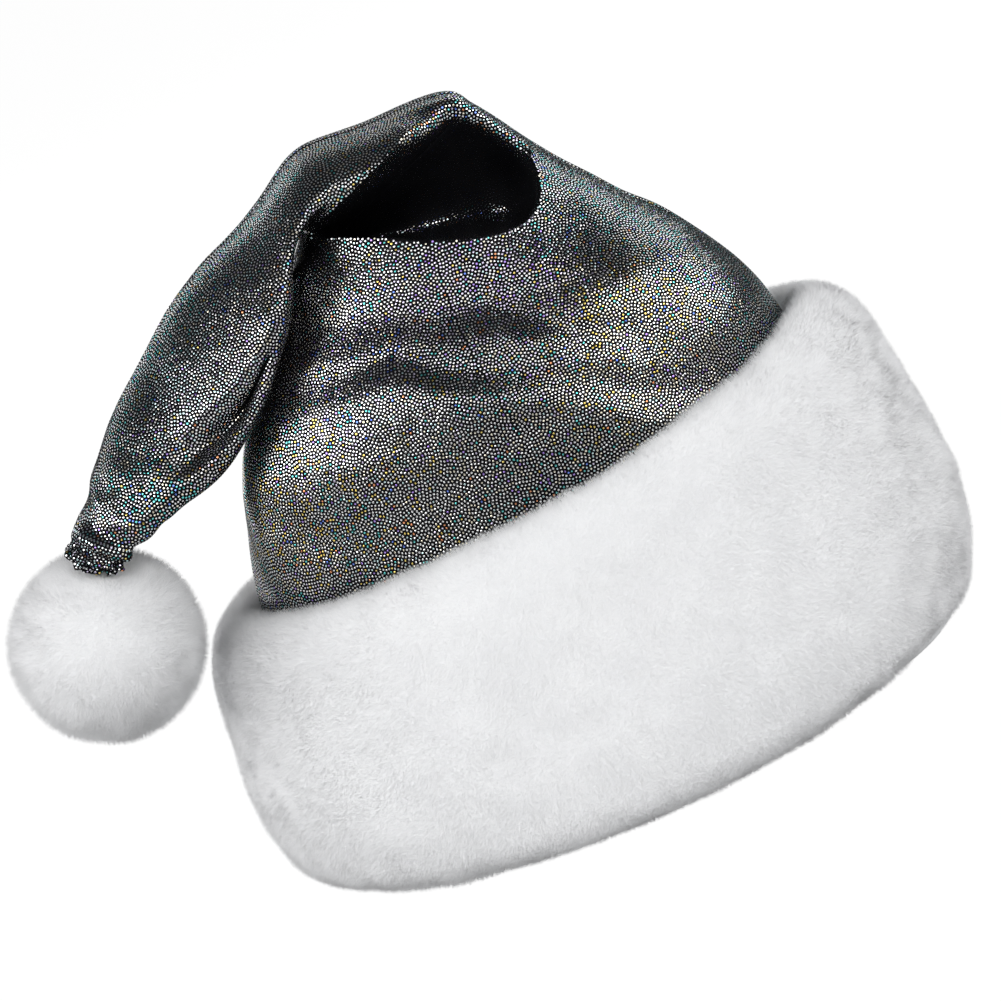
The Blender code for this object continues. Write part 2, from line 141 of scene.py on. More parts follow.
# Unevenness of soft surfaces: height, size, seed, and how much it is squashed along the hat
CROWN_WRINKLES = ((1.5, 52.0, 3, 1.6), (0.5, 21.0, 5, 1.8))
TAIL_WRINKLES = ((1.0, 30.0, 8, 1.0), (0.4, 12.0, 9, 1.0))
PLUSH_LUMPS = ((1.5, 36.0, 31, 1.0), (0.35, 13.0, 32, 1.0), (0.05, 4.5, 33, 1.0))
WADDING_LUMPS = ((0.35, 6.0, 71, 1.0),)
FACING_RIPPLES = ((0.5, 11.0, 73, 0.35), (0.25, 5.0, 74, 1.0))
LINING_RIPPLES = ((1.0, 16.0, 81, 0.5), (0.4, 7.0, 82, 1.0))
POMPOM_LUMPS = ((0.5, 14.0, 91, 1.0), (0.1, 4.0, 92, 1.0))

# Folds of slack cloth: turns, places along the fold, half its width, how far it steps out below
SLACK_FOLDS = [
    ((0.35, 0.84, 1.36, 1.66, 1.85, 2.1), (4.2, 4.7, 4.4, 3.7, 2.75, 2.1), 0.38, 2.2),
    ((0.25, 0.62, 1.3, 1.61, 1.96, 2.3), (3.6, 3.85, 3.75, 2.6, 1.5, 0.8), 0.32, 2.4),
    ((0.3, 0.64, 0.85, 1.1), (2.8, 2.93, 2.9, 2.6), 0.2, 0.8),
    ((1.9, 2.2, 2.5, 2.8), (4.6, 3.9, 3.3, 3.0), 0.6, 1.9),
]

# Crease pinched into the front of the tail, beside the crown: its places, and its turns there
PINCH_PLACES = (12.9, 13.4, 13.8, 14.2, 14.8, 15.6)
PINCH_TURNS = (0.66, 0.72, 0.86, 1.02, 1.24, 1.30)
PINCH_DEPTH = 8.0
PINCH_WIDTH = 0.24

# Foil dots
DOT_PITCH = 1.28
DOT_RADIUS = 0.35
DOT_SIZES = (0.86, 1.08)    # smallest and largest share of the radius
DOT_HEIGHT = 0.05
DOT_LIFT = 0.04
DOT_SIDES = 8
DOT_TILT = 0.05
DOTS_FROM = 0.45
SEAM_MARGIN = 0.012
RELAX_STEPS = 36
FOIL_ROUGHNESS = 0.24

# Tints of the foil: colour, usual share, how far the share drifts, over what size, seed
FOIL_TINTS = {
    "silver": ((0.95, 0.95, 0.96), 1.0, 0.0, 28.0, 20),
    "champagne": ((0.95, 0.89, 0.74), 0.22, 0.26, 28.0, 21),
    "ice": ((0.70, 0.90, 0.92), 0.22, 0.26, 30.0, 22),
    "lilac": ((0.82, 0.74, 0.95), 0.16, 0.22, 26.0, 23),
    "teal": ((0.18, 0.70, 0.68), 0.05, 0.13, 28.0, 24),
    "violet": ((0.50, 0.32, 0.88), 0.03, 0.08, 24.0, 25),
    "blue": ((0.20, 0.32, 0.92), 0.02, 0.07, 24.0, 26),
    "ember": ((0.92, 0.40, 0.20), 0.015, 0.05, 22.0, 27),
    "gold": ((0.95, 0.74, 0.22), 0.03, 0.08, 22.0, 28),
}
LEAST_SHARE = 0.004

# Painted reflection: where the iridescent foil's coloured glints are painted in, as a tint made more common:
# tint, place and turn at the middle, reach in both, added share
PAINTED_GLINT_REGIONS = [
    ("teal", 4.0, 2.95, 3.5, 0.45, 0.55), ("ice", 4.0, 2.85, 4.0, 0.6, 0.8),
    ("teal", 13.5, 2.7, 2.5, 0.6, 0.5), ("ice", 14.0, 2.4, 3.0, 0.8, 0.8),
    ("violet", 4.2, 1.8, 0.9, 0.22, 0.35), ("lilac", 4.2, 1.7, 1.3, 0.4, 0.6),
    ("gold", 2.9, 2.1, 1.0, 0.3, 0.35), ("champagne", 2.9, 2.1, 1.5, 0.5, 0.6),
    ("teal", 3.4, 0.7, 0.7, 0.5, 0.25), ("ember", 7.5, 2.3, 1.2, 0.5, 0.5),
    ("blue", 7.2, 2.1, 1.2, 0.5, 0.4), ("gold", 2.2, 0.7, 0.8, 0.4, 0.3), ("teal", 15.8, 1.0, 0.5, 1.0, 0.5),
]

# Cuff, as offsets out from the head opening
OPENING_HALF_WIDTH = 99.0
OPENING_HALF_DEPTH = 73.0
CUFF_TOP = 106.0
CUFF_SLANT = 0.088
PLUSH_INSIDE = 11.0
TOP_DROP = 5.2              # the cuff's top is lower towards the tail
TOP_DROP_REACH = (15.0, 95.0)       # complete left of the first, nothing right of the second
TOP_DROP_EVERYWHERE = 1.0
TOP_DROP_HEIGHTS = (55.0, 105.0)
TOP_WAVES = ((40.0, 28.0, 1.6), (-18.0, 22.0, -4.5))    # angle, reach, how far it is lowered there
LIP_SHARE = 16.5 / 25       # the lip of plush that touches the crown
LIP_FULLNESS = 2.2
PLUSH_FULLNESS = 0.8
CLOSING_GROOVE = 2.2        # depth and half width of the closing seam's groove
CUFF_SHAPE = [      # angle round the opening, height, reach of both, how far out
    (-102.0, 8.0, 40.0, 24.0, 4.2), (180.0, 6.0, 45.0, 24.0, -3.6),
    (-10.0, 10.0, 45.0, 30.0, -6.5), (180.0, 96.0, 40.0, 20.0, 1.0),
]
PLUSH_PROFILE = [   # foot of the pile: offset, height and slant, inside the CAD's outer shape
    (2.0, 2.6, 0.0), (2.0, 1.6, 0.0), (7.0, 1.2, 0.0), (14.0, 2.0, 0.0), (23.0, 3.6, 0.0),
    (29.5, 9.0, 0.0), (32.5, 18.0, 0.0), (34.0, 30.0, 0.05), (33.6, 44.0, 0.1), (32.0, 58.0, 0.25),
    (30.2, 72.0, 0.4), (28.0, 86.0, 0.5), (25.5, 97.0, 0.62), (22.0, 105.0, 0.7),
    (17.5, 110.0, 0.75), (13.0, 111.5, 0.8), (9.6, 109.0, 0.9), (8.4, 102.0, 1.0),
    (9.0, 92.0, 1.0), (11.3, 82.0, 1.0), (11.4, 60.0, 0.6), (11.4, 40.0, 0.3), (11.4, 20.0, 0.1),
    (11.2, 6.0, 0.0), (9.0, 3.2, 0.0),
]
PLUSH_FIRST = 1.2 / 25      # shares of the profile between which the pile stands
PLUSH_LAST = 17.2 / 25
PLUSH_FOOT = 0.4            # lowest height of the plush's ground
PLUSH_STEPS_ROUND = 420
PLUSH_STEPS_UP = 150
WADDING_PROFILE = [
    (6.0, 3.4, 0.0), (9.4, 7.5, 0.0), (9.4, 42.0, 0.3), (9.4, CUFF_TOP - 33, 1.0),
    (6.0, CUFF_TOP - 29, 1.0), (2.6, CUFF_TOP - 33, 1.0), (2.6, 42.0, 0.3), (2.6, 7.5, 0.0),
]
FACING_BOTTOM = 1.6
FACING_TOP = CUFF_TOP - 24
FACING_OFFSET = 0.9
FACING_THICKNESS = 0.6

# Pile: three-sided needles
PILE_SHADES = ((0.91, 0.915, 0.925), (0.87, 0.875, 0.885), (0.94, 0.94, 0.945))
PILE_PITCH = 0.5
PILE_WIDTH = 0.09
PILE_LENGTH = 3.2
PILE_LENGTHS = (0.65, 1.15)     # shortest and longest share of that
PILE_SWIRLS = ((0.8, 8.0, 51), (0.5, 2.6, 54))      # strength, size, first of three seeds
PILE_DISORDER = 0.6
PILE_UPRIGHT = 0.93
PILE_SWAY = 0.5
PILE_LEAN = np.array([0.0, 0.0, -0.12])     # the cuff's pile hangs a little
PILE_SHINE = (0.07, 0.06)       # how far its shading follows disorder and swirls
PILE_SECTORS = 4

# Pompom
POMPOM_CENTRE = np.array([-155.0, -37.0, 116.0])
POMPOM_RADIUS = 33.5
COVER_THICKNESS = 5.0
GATHER_AXIS = np.array(Vector((0.42, -0.20, 0.885)).normalized())
GATHER_DEPTH = 6.5
DIMPLE_ANGLE = 0.55
SWAY_POINT = POMPOM_CENTRE + (POMPOM_RADIUS - GATHER_DEPTH) * GATHER_AXIS
POMPOM_PILE = 4.6
POMPOM_PILE_PITCH = 0.45
POMPOM_FOOT = POMPOM_RADIUS - POMPOM_PILE + 1.0
FILLING_RADIUS = POMPOM_RADIUS - 11.0

# Lining
LINING_INSET = 3.2
LINING_BOTTOM = 0.35
LINING_TOP = 4.6
LINING_SHUT_DEPTH = 5.0
LINING_THICKNESS = 0.2
LINING_SLACK = 1.2

# Label
LABEL_GAP = 0.35            # half the gap between its two layers
LABEL_STEP = 1.5
LABEL_STEPS = 20
LABEL_SAG = 0.9
LABEL_LENGTH = 32.0         # of one layer
LABEL_THICKNESS = 0.15

# Rows of stitches round the head opening: name, CAD node, thread, offset, height, slant, gap, slope
RING_ROWS = (
    ("cuff_top_stitches", "cuff_top_stitching", "black_thread", 4.0, CUFF_TOP - 21, 1.0, 3.0, 0.3),
    ("facing_top_stitches", "facing_top_stitching", "white_thread", 0.4, CUFF_TOP - 22.9, 1.0, 3.0, 0.5),
    ("cuff_hem_stitches", "cuff_hem_stitching", "white_thread", 1.9, 0.9, 0.0, 3.2, 0.6),
)
FINE_STITCH = 0.2
STITCH_HALF_SHARE = 0.42    # half a stitch, as a share of the gap between stitches
ACROSS_THREAD = np.array([0.31, 0.23, 0.92])    # a direction that no thread follows
STRAND_STEP = 0.35
STRAND_TWIST = 1.6          # length of one turn of a thread's strands
GATHER_LOOP = np.array([-145.2, -45.0, 141.2])
GATHER_LOOP_AXIS = np.array([-0.2, -1.0, -4.4])


# ---------------------------------------------------------------- numbers and meshes

def unit(vectors):
    """Vectors made one long."""
    return vectors / np.maximum(np.linalg.norm(vectors, axis=-1, keepdims=True), 1e-9)


def noise(points, size, seed):
    """Smooth noise from -1 to 1 at points, with features about size across."""
    place = points / size + seed * 7.31
    cell = np.floor(place).astype(np.int64)
    share = place - cell
    share = share * share * (3 - 2 * share)
    total = np.zeros(len(points))
    for corner in itertools.product((0, 1), repeat=3):
        weight = np.prod(np.where(np.array(corner) == 1, share, 1 - share), axis=1)
        mixed = (cell + np.array(corner)) @ np.array([73856093, 19349663, 83492791])
        mixed = (mixed ^ (mixed >> 13)) * 1274126177 & 0x7FFFFFFF
        mixed = (mixed ^ (mixed >> 15)) * 668265263 & 0x7FFFFFFF
        total += weight * ((mixed >> 8) / float(1 << 22) - 1.0)
    return total


def between(before, start, end, after, share):
    """Points of a Catmull-Rom curve between start and end, at shares from 0 to 1."""
    slope = end - before
    bend = 2 * before - 5 * start + 4 * end - after
    return 0.5 * (2 * start + slope * share + bend * share ** 2
                  + (3 * start - before - 3 * end + after) * share ** 3)


def unevenness(points, kinds):
    """Noise of several kinds, each with its height, size, seed and squash along the hat."""
    return sum(height * noise(points * (1, 1, squash), size, seed) for height, size, seed, squash in kinds)


def signed_power(value, exponent):
    """Power that keeps the sign."""
    return np.sign(value) * np.abs(value) ** exponent


def bump_shape(value, centre, width):
    """Bell from 0 to 1 round centre."""
    return np.exp(-((value - centre) / width) ** 2)


def ease(value, low, high):
    """Smooth step from 0 at low to 1 at high."""
    share = np.clip((value - low) / (high - low), 0.0, 1.0)
    return share * share * (3 - 2 * share)


def mesh_piece(name, points, faces, look, smooth=True):
    """A mesh object of one material, from points in millimetres and faces all of one kind."""
    data = bpy.data.meshes.new(name)
    faces = np.asarray(faces, np.int32)
    corners = faces.shape[1]
    data.vertices.add(len(points))
    data.vertices.foreach_set("co", (np.asarray(points) * MM).astype(np.float32).ravel())
    data.loops.add(faces.size)
    data.loops.foreach_set("vertex_index", faces.ravel())
    data.polygons.add(len(faces))
    data.polygons.foreach_set("loop_start", np.arange(0, faces.size, corners, dtype=np.int32))
    data.materials.append(look)
    data.update(calc_edges=True)
    if smooth:
        data.shade_smooth()
    made = bpy.data.objects.new(name, data)
    bpy.context.scene.collection.objects.link(made)
    return made


def grid_faces(rows, columns, wrap_rows=False, wrap_columns=False):
    """Quads of a grid of points, rows by columns, joined round where it wraps."""
    row = np.arange(rows if wrap_rows else rows - 1)
    column = np.arange(columns if wrap_columns else columns - 1)
    row, column = np.meshgrid(row, column, indexing="ij")
    below = (row + 1) % rows
    beside = (column + 1) % columns
    return np.stack([row * columns + column, row * columns + beside,
                     below * columns + beside, below * columns + column], -1).reshape(-1, 4)


def repeated(pattern, number, corners):
    """Faces of a small shape, repeated number times."""
    pattern = np.asarray(pattern)
    return (np.arange(number)[:, None, None] * corners + pattern).reshape(-1, pattern.shape[1])


def ring_grid(rows, columns):
    """Shares up and angles round a closed ring, both running all the way round."""
    angles = 2 * np.pi * np.arange(columns) / columns
    share, angle = np.meshgrid(np.arange(rows) / rows, angles, indexing="ij")
    return share.ravel(), angle.ravel()


def fill_ends(piece):
    """Close the open ends of a mesh."""
    shape = bmesh.new()
    shape.from_mesh(piece.data)
    edges = [edge for edge in shape.edges if edge.is_boundary]
    bmesh.ops.holes_fill(shape, edges=edges)
    shape.to_mesh(piece.data)
    shape.free()
    piece.data.shade_smooth()


def stand_for(piece, body, node):
    """Let a piece ride on a body in place of one CAD node."""
    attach(piece, body)
    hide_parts(node)


def solidify(piece, thickness, offset=-1.0):
    """Give a sheet its thickness."""
    solid = piece.modifiers.new("Cloth", "SOLIDIFY")
    solid.thickness = thickness * MM
    solid.offset = offset


# ---------------------------------------------------------------- materials

def new_material(name, colour, roughness, metallic=0.0, **sockets):
    """A Principled material with even values, and its shader and tree."""
    made = bpy.data.materials.new(name)
    made.use_nodes = True
    tree = made.node_tree
    shader = tree.nodes["Principled BSDF"]
    shader.inputs["Base Color"].default_value = (*colour, 1.0)
    shader.inputs["Roughness"].default_value = roughness
    shader.inputs["Metallic"].default_value = metallic
    for socket, value in sockets.items():
        shader.inputs[socket.replace("_", " ")].default_value = value
    return made, tree, shader


def add_node(tree, kind, **values):
    """A node with input values by name and settings in lower case."""
    made = tree.nodes.new(kind)
    for name, value in values.items():
        if name[0].islower():
            setattr(made, name, value)
        else:
            made.inputs[name.replace("_", " ")].default_value = value
    return made


def object_place(tree):
    """The object's own coordinates."""
    return add_node(tree, "ShaderNodeTexCoord").outputs["Object"]


def mottle(tree, shader, place, scale, low, high, detail=4.0):
    """Colour that varies softly between low and high."""
    spots = add_node(tree, "ShaderNodeTexNoise", Scale=scale, Detail=detail)
    tree.links.new(place, spots.inputs["Vector"])
    ramp = add_node(tree, "ShaderNodeValToRGB")
    ramp.color_ramp.elements[0].position = 0.3
    ramp.color_ramp.elements[1].position = 0.7
    ramp.color_ramp.elements[0].color = (*low, 1.0)
    ramp.color_ramp.elements[1].color = (*high, 1.0)
    tree.links.new(spots.outputs["Fac"], ramp.inputs["Fac"])
    tree.links.new(ramp.outputs["Color"], shader.inputs["Base Color"])


def relief(tree, shader, height, distance, strength=1.0):
    """Bump from a height output."""
    bump = add_node(tree, "ShaderNodeBump", Strength=strength, Distance=distance)
    tree.links.new(height, bump.inputs["Height"])
    tree.links.new(bump.outputs["Normal"], shader.inputs["Normal"])


def knit_material():
    """Near-black knit under the foil dots."""
    made, tree, shader = new_material("foil_knit_ground", (0.004, 0.004, 0.005), 0.7,
                                      Specular_IOR_Level=0.04)
    place = object_place(tree)
    mottle(tree, shader, place, 60.0, (0.002, 0.002, 0.003), (0.006, 0.006, 0.007))
    loops = add_node(tree, "ShaderNodeTexVoronoi", Scale=1500.0)
    tree.links.new(place, loops.inputs["Vector"])
    relief(tree, shader, loops.outputs["Distance"], 0.0003, 0.6)
    return made


def weave_material(name, low, high, roughness, threads_per_metre, depth, sheen=0.1):
    """Plain-woven or knitted cloth from two crossed waves."""
    made, tree, shader = new_material(name, high, roughness, Sheen_Weight=sheen, Sheen_Roughness=0.5)
    place = object_place(tree)
    mottle(tree, shader, place, 120.0, low, high)
    heights = []
    for direction in ("X", "Z"):
        wave = add_node(tree, "ShaderNodeTexWave", Scale=threads_per_metre / 20.0, Distortion=1.5,
                        Detail=2.0, bands_direction=direction)
        tree.links.new(place, wave.inputs["Vector"])
        heights.append(wave.outputs["Fac"])
    both = add_node(tree, "ShaderNodeMath", operation="MULTIPLY")
    tree.links.new(heights[0], both.inputs[0])
    tree.links.new(heights[1], both.inputs[1])
    relief(tree, shader, both.outputs["Value"], depth)
    return made


def fibre_material(name, low, high, scale, depth):
    """Dense white fibre, as the foot of the pile or as wadding."""
    made, tree, shader = new_material(name, high, 0.95, Sheen_Weight=0.25, Sheen_Roughness=0.6,
                                      Specular_IOR_Level=0.1)
    place = object_place(tree)
    mottle(tree, shader, place, scale, low, high, 6.0)
    tufts = add_node(tree, "ShaderNodeTexNoise", Scale=scale * 5, Detail=8.0, Roughness=0.7)
    tree.links.new(place, tufts.inputs["Vector"])
    relief(tree, shader, tufts.outputs["Fac"], depth)
    return made


def thread_material(name, low, high):
    """Twisted sewing thread."""
    made, tree, shader = new_material(name, high, 0.6, Sheen_Weight=0.15)
    place = object_place(tree)
    mottle(tree, shader, place, 900.0, low, high)
    twist = add_node(tree, "ShaderNodeTexWave", Scale=220.0, Distortion=2.0, bands_direction="DIAGONAL")
    tree.links.new(place, twist.inputs["Vector"])
    relief(tree, shader, twist.outputs["Fac"], 0.0002)
    return made


LOOKS = {
    "knit": knit_material(),
    "lining": weave_material("lining_weave", (0.010, 0.010, 0.012), (0.03, 0.03, 0.034),
                             0.5, 1600, 0.0002),
    "facing": weave_material("facing_knit", (0.78, 0.78, 0.78), (0.90, 0.90, 0.90), 0.8, 900, 0.0003),
    "label": weave_material("label_satin", (0.86, 0.86, 0.84), (0.94, 0.94, 0.92),
                            0.35, 2600, 0.00008, 0.3),
    "plush": fibre_material("plush_ground", (0.86, 0.865, 0.875), (0.93, 0.935, 0.94), 60.0, 0.0004),
    "wadding": fibre_material("wadding", (0.86, 0.86, 0.85), (0.95, 0.95, 0.94), 60.0, 0.002),
    "black_thread": thread_material("black_thread", (0.01, 0.01, 0.01), (0.035, 0.035, 0.035)),
    "white_thread": thread_material("white_thread", (0.78, 0.78, 0.76), (0.92, 0.92, 0.90)),
}
for number, shade in enumerate(PILE_SHADES):
    LOOKS[f"pile_{number}"] = new_material(f"plush_pile_{number}", shade, 1.0, Specular_IOR_Level=0.05)[0]
for tint, (colour, *_) in FOIL_TINTS.items():
    LOOKS[tint] = new_material(f"foil_{tint}", colour, FOIL_ROUGHNESS, 1.0)[0]


# ---------------------------------------------------------------- cloth of crown and tail

def section(place):
    """Outer and inner points, front and back depths at places along the sections."""
    last = len(SECTIONS) - 1
    first = np.clip(np.floor(place).astype(int), 0, last - 1)
    share = (place - first)[:, None]
    values = between(*(SECTIONS[np.clip(first + step, 0, last)] for step in (-1, 0, 1, 2)), share)
    return values[:, 0:3], values[:, 3:6], values[:, 6], values[:, 7]


def dent(place, turn):
    """How far the front is pushed in under the peak."""
    to_right = ease(turn, DENT_LIP_TURN, DENT_RIGHT_TURN)
    lip = DENT_LIP + DENT_LEFT_RISE * ease(-turn, -DENT_LIP_TURN, -DENT_LEFT_TURN)
    lip = lip + DENT_RIGHT_RISE * to_right
    top = DENT_TOP + DENT_PEAK_RISE * to_right
    share = np.clip((place - lip) / (top - lip), 0, 1)
    along = share ** DENT_SHAPE[0] * (1 - share) ** DENT_SHAPE[1] / DENT_SHAPE_MOST
    across = ease(turn, *DENT_SIDES[:2]) * (1 - ease(turn, *DENT_SIDES[2:]))
    return DENT_DEPTH * along * across


def plain_surface(place, turn, inset=0.0):
    """The CAD's surface. turn is 0 at the inner point, pi / 2 in front, pi at the outer point."""
    outer, inner, front, back = section(place)
    half = (outer - inner) / 2
    half = half * (1 - inset / np.linalg.norm(half, axis=1, keepdims=True))
    exponent = 2 / (2 + (BOXINESS - 2) * np.minimum(1.0, place / BOXY_FROM))
    in_front = turn <= np.pi
    depth = np.where(in_front, front, back) - inset
    points = (outer + inner) / 2 - half * signed_power(np.cos(turn), exponent)[:, None]
    points[:, 1] -= depth * signed_power(np.sin(turn), exponent)
    pushed = np.where(in_front, dent(place, turn), 0.0)
    points[:, 1] += pushed
    points[:, 2] -= DENT_SINK * pushed
    return points


def normals_of(surface, place, turn, step=0.01):
    """Outward normals of a surface function."""
    along = surface(place + step, turn) - surface(place - step, turn)
    across = surface(place, turn + step) - surface(place, turn - step)
    return unit(np.cross(across, along))


def pinch(place, turn):
    """Depth of the crease that is pinched into the front of the tail beside the crown."""
    middle = np.interp(place, PINCH_PLACES, PINCH_TURNS)
    deep = ease(place, 12.7, 13.7) * (1 - ease(place, 14.2, 15.6))
    return PINCH_DEPTH * deep * bump_shape(turn, middle, PINCH_WIDTH)


def slack(place, turn):
    """Soft folds across the front, where slack cloth steps out below a line."""
    lift = np.zeros(len(place))
    for turns, places, half_width, out in SLACK_FOLDS:
        line = np.interp(turn, turns, places)
        step = 1 - ease(place, line - half_width, line + half_width)
        back = ease(place, line - 7 * half_width, line - 1.2 * half_width)
        across = ease(turn, turns[0] - 0.25, turns[0] + 0.15)
        across *= 1 - ease(turn, turns[-1] - 0.2, turns[-1] + 0.2)
        lift += out * step * back * across
    return lift


def folds(place, turn, points):
    """How far soft folds and wrinkles lift the cloth."""
    crown = ease(place, 0.0, 2.0) * (1 - ease(place, 9.5, 11.0))
    tail = ease(place, 10.0, 12.0) * (1 - ease(place, 18.0, 19.0))
    lift = crown * unevenness(points, CROWN_WRINKLES) + tail * unevenness(points, TAIL_WRINKLES)
    neck = ease(place, 15.8, 17.2) * (1 - ease(place, 18.6, 19.4))
    lift += 0.9 * neck * np.sin(2 * np.pi * (1.15 * place + 0.16 * turn) + 1.5 * noise(points, 9.0, 12))
    pleats = ease(place, 17.0, 18.6) * (1 - 0.6 * ease(place, 19.2, 20.0))
    lift += 0.9 * pleats * np.cos(11 * turn + 1.2 * noise(points, 6.0, 14))
    lift += slack(place, turn) - pinch(place, turn)
    lift += 3.6 * bump_shape(turn, 0.44, 0.24) * ease(place, 0.6, 2.0) * (1 - ease(place, 5.8, 7.5))
    lift += 3.2 * bump_shape(np.minimum(turn, 2 * np.pi - turn), 0.0, 0.45) * bump_shape(place, 1.5, 1.1)
    ridge = bump_shape(turn, np.pi, 0.9)
    lift += ridge * (1.0 * bump_shape(place, 11.1, 0.4) - 3.4 * bump_shape(place, 12.3, 0.8))
    narrowing = ease(place, 12.0, 18.0)
    seam_groove = bump_shape(np.abs(np.sin(turn)), 0.0, 0.02 + 0.25 * narrowing)
    return lift - (0.9 - 0.4 * narrowing) * seam_groove


def cloth_surface(place, turn):
    """The finished outer face of crown and tail."""
    points = plain_surface(place, turn)
    normals = normals_of(plain_surface, place, turn)
    return points + normals * folds(place, turn, points)[:, None]


def panel_grid(start, end, first_turn, last_turn, rows, columns):
    """Places and turns of a grid over one panel."""
    place, turn = np.meshgrid(np.linspace(start, end, rows + 1),
                              np.linspace(first_turn, last_turn, columns + 1), indexing="ij")
    return place.ravel(), turn.ravel()


def carry_over_fold(piece):
    """Keep a piece between crown and tail where it is, with its placing applied to its points."""
    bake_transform(piece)


def carry_over_neck(piece):
    """Keep a piece between the tail and its gathered end where it is, with its placing applied to its
    points.
    """
    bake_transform(piece)


def carry_part(piece, part):
    """Attach a piece of the crown or the tail to its body; a piece of the fold or the gathered end stays
    where it is.
    """
    if part == "crown":
        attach(piece, "hat")
    elif part == "tail":
        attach(piece, "tail")
    elif part == "fold":
        carry_over_fold(piece)
    else:
        carry_over_neck(piece)


def build_cloth():
    """The two panels of crown and tail, each in the parts that move apart, and the gathered end."""
    for side, first_turn in (("front", 0.0), ("back", np.pi)):
        for part, start, end in CLOTH_PARTS:
            rows = int((end - start) * CLOTH_ROWS_PER_SECTION)
            place, turn = panel_grid(start, end, first_turn, first_turn + np.pi, rows, CLOTH_COLUMNS)
            points = cloth_surface(place, turn)
            name = f"{side}_{part}_cloth"
            piece = mesh_piece(name, points, grid_faces(rows + 1, CLOTH_COLUMNS + 1), LOOKS["knit"])
            solidify(piece, CLOTH_THICKNESS)
            carry_part(piece, part)
            if part != "fold":
                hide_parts(f"{part}_{side}_panel")
    last_turn = 2 * np.pi * (1 - 1 / END_COLUMNS)
    place, turn = panel_grid(PANEL_END, CLOTH_END, 0.0, last_turn, END_ROWS, END_COLUMNS - 1)
    piece = mesh_piece("gathered_end_cloth", cloth_surface(place, turn),
                       grid_faces(END_ROWS + 1, END_COLUMNS, wrap_columns=True), LOOKS["knit"])
    solidify(piece, CLOTH_THICKNESS)
    carry_over_neck(piece)
    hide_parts("gathered_tail_end")


# ---------------------------------------------------------------- foil dots

def close_pairs(points, reach):
    """Pairs of points nearer to each other than reach."""
    cell = np.floor((points - points.min(0)) / reach).astype(np.int64) + 1
    size = cell.max(0) + 2
    key = (cell[:, 0] * size[1] + cell[:, 1]) * size[2] + cell[:, 2]
    order = np.argsort(key, kind="stable")
    ordered = key[order]
    found = []
    for offset in itertools.product((-1, 0, 1), repeat=3):
        if offset < (0, 0, 0):
            continue
        other = key + (offset[0] * size[1] + offset[1]) * size[2] + offset[2]
        first = np.searchsorted(ordered, other, "left")
        count = np.searchsorted(ordered, other, "right") - first
        for rank in range(int(count.max())):
            here = np.nonzero(count > rank)[0]
            there = order[first[here] + rank]
            keep = np.linalg.norm(points[here] - points[there], axis=1) < reach
            if offset == (0, 0, 0):
                keep &= there > here
            found.append(np.stack([here[keep], there[keep]], 1))
    return np.concatenate(found)


def sampled(table, row, column):
    """Values between the points of a table, at fractional rows and columns."""
    top = np.clip(row.astype(int), 0, table.shape[0] - 2)
    left = np.clip(column.astype(int), 0, table.shape[1] - 2)
    down = (row - top)[:, None]
    right = (column - left)[:, None]
    upper = table[top, left] * (1 - right) + table[top, left + 1] * right
    lower = table[top + 1, left] * (1 - right) + table[top + 1, left + 1] * right
    return upper * (1 - down) + lower * down


def scatter(surface, ranges, shape, pitch, seed, steps):
    """Places and turns of points on a surface, as many as its area holds, pushed apart step by step."""
    random = np.random.default_rng(seed)
    (start, end), (first, last) = ranges
    place, turn = panel_grid(start, end, first, last, shape[0], shape[1])
    table = surface(place, turn).reshape(shape[0] + 1, shape[1] + 1, 3)
    down = np.gradient(table, axis=0)
    across = np.gradient(table, axis=1)
    cells = np.linalg.norm(np.cross(down[:-1, :-1], across[:-1, :-1]), axis=2)
    total = cells.sum()
    number = int(total / (pitch ** 2 * math.sqrt(3) / 2))
    picks = (np.arange(number) + random.random(number)) * total / number
    chosen = np.searchsorted(np.cumsum(cells.ravel()), picks).clip(0, cells.size - 1)
    row = chosen // cells.shape[1] + random.random(number)
    column = chosen % cells.shape[1] + random.random(number)
    reach = pitch * 1.35
    for step in range(steps):
        points = sampled(table, row, column)
        if step % 3 == 0:
            pairs = close_pairs(points, reach * 1.25)
        apart = points[pairs[:, 0]] - points[pairs[:, 1]]
        distance = np.maximum(np.linalg.norm(apart, axis=1), 1e-6)
        push = np.clip(1 - distance / reach, 0, 1) ** 1.2 * pitch * 0.42
        force = apart / distance[:, None] * push[:, None]
        move = np.zeros_like(points)
        for axis in range(3):
            move[:, axis] += np.bincount(pairs[:, 0], force[:, axis], number)
            move[:, axis] -= np.bincount(pairs[:, 1], force[:, axis], number)
        size = np.maximum(np.linalg.norm(move, axis=1, keepdims=True), 1e-9)
        move *= np.minimum(1.0, 0.4 * pitch / size)
        along = sampled(down, row, column)
        aside = sampled(across, row, column)
        aa = (along * along).sum(1)
        bb = (aside * aside).sum(1)
        ab = (along * aside).sum(1)
        ma = (move * along).sum(1)
        mb = (move * aside).sum(1)
        scale = np.maximum(aa * bb - ab * ab, 1e-6)
        row = np.clip(row + (ma * bb - mb * ab) / scale, 0, shape[0])
        column = np.clip(column + (mb * aa - ma * ab) / scale, 0, shape[1])
    place = start + (end - start) * row / shape[0]
    turn = first + (last - first) * column / shape[1]
    return place, turn


def dot_tints(points, place, turn, random):
    """Which foil tint each dot has: mostly silver, with colour that drifts over the cloth, and painted
    reflection colour of the iridescent foil made more common in listed regions.
    """
    drift = {tint: share + spread * noise(points, size, seed)
             for tint, (_, share, spread, size, seed) in FOIL_TINTS.items()}
    # painted reflection: the foil's coloured glints are painted in as tints that are more common in fixed
    # regions
    for tint, middle, angle, long, wide, amount in PAINTED_GLINT_REGIONS:
        drift[tint] = drift[tint] + amount * bump_shape(place, middle, long) * bump_shape(turn, angle, wide)
    limits = np.cumsum(np.stack([np.clip(drift[tint], LEAST_SHARE, None) for tint in FOIL_TINTS], 1), axis=1)
    picks = random.random(len(points)) * limits[:, -1]
    return (picks[:, None] > limits).sum(1)


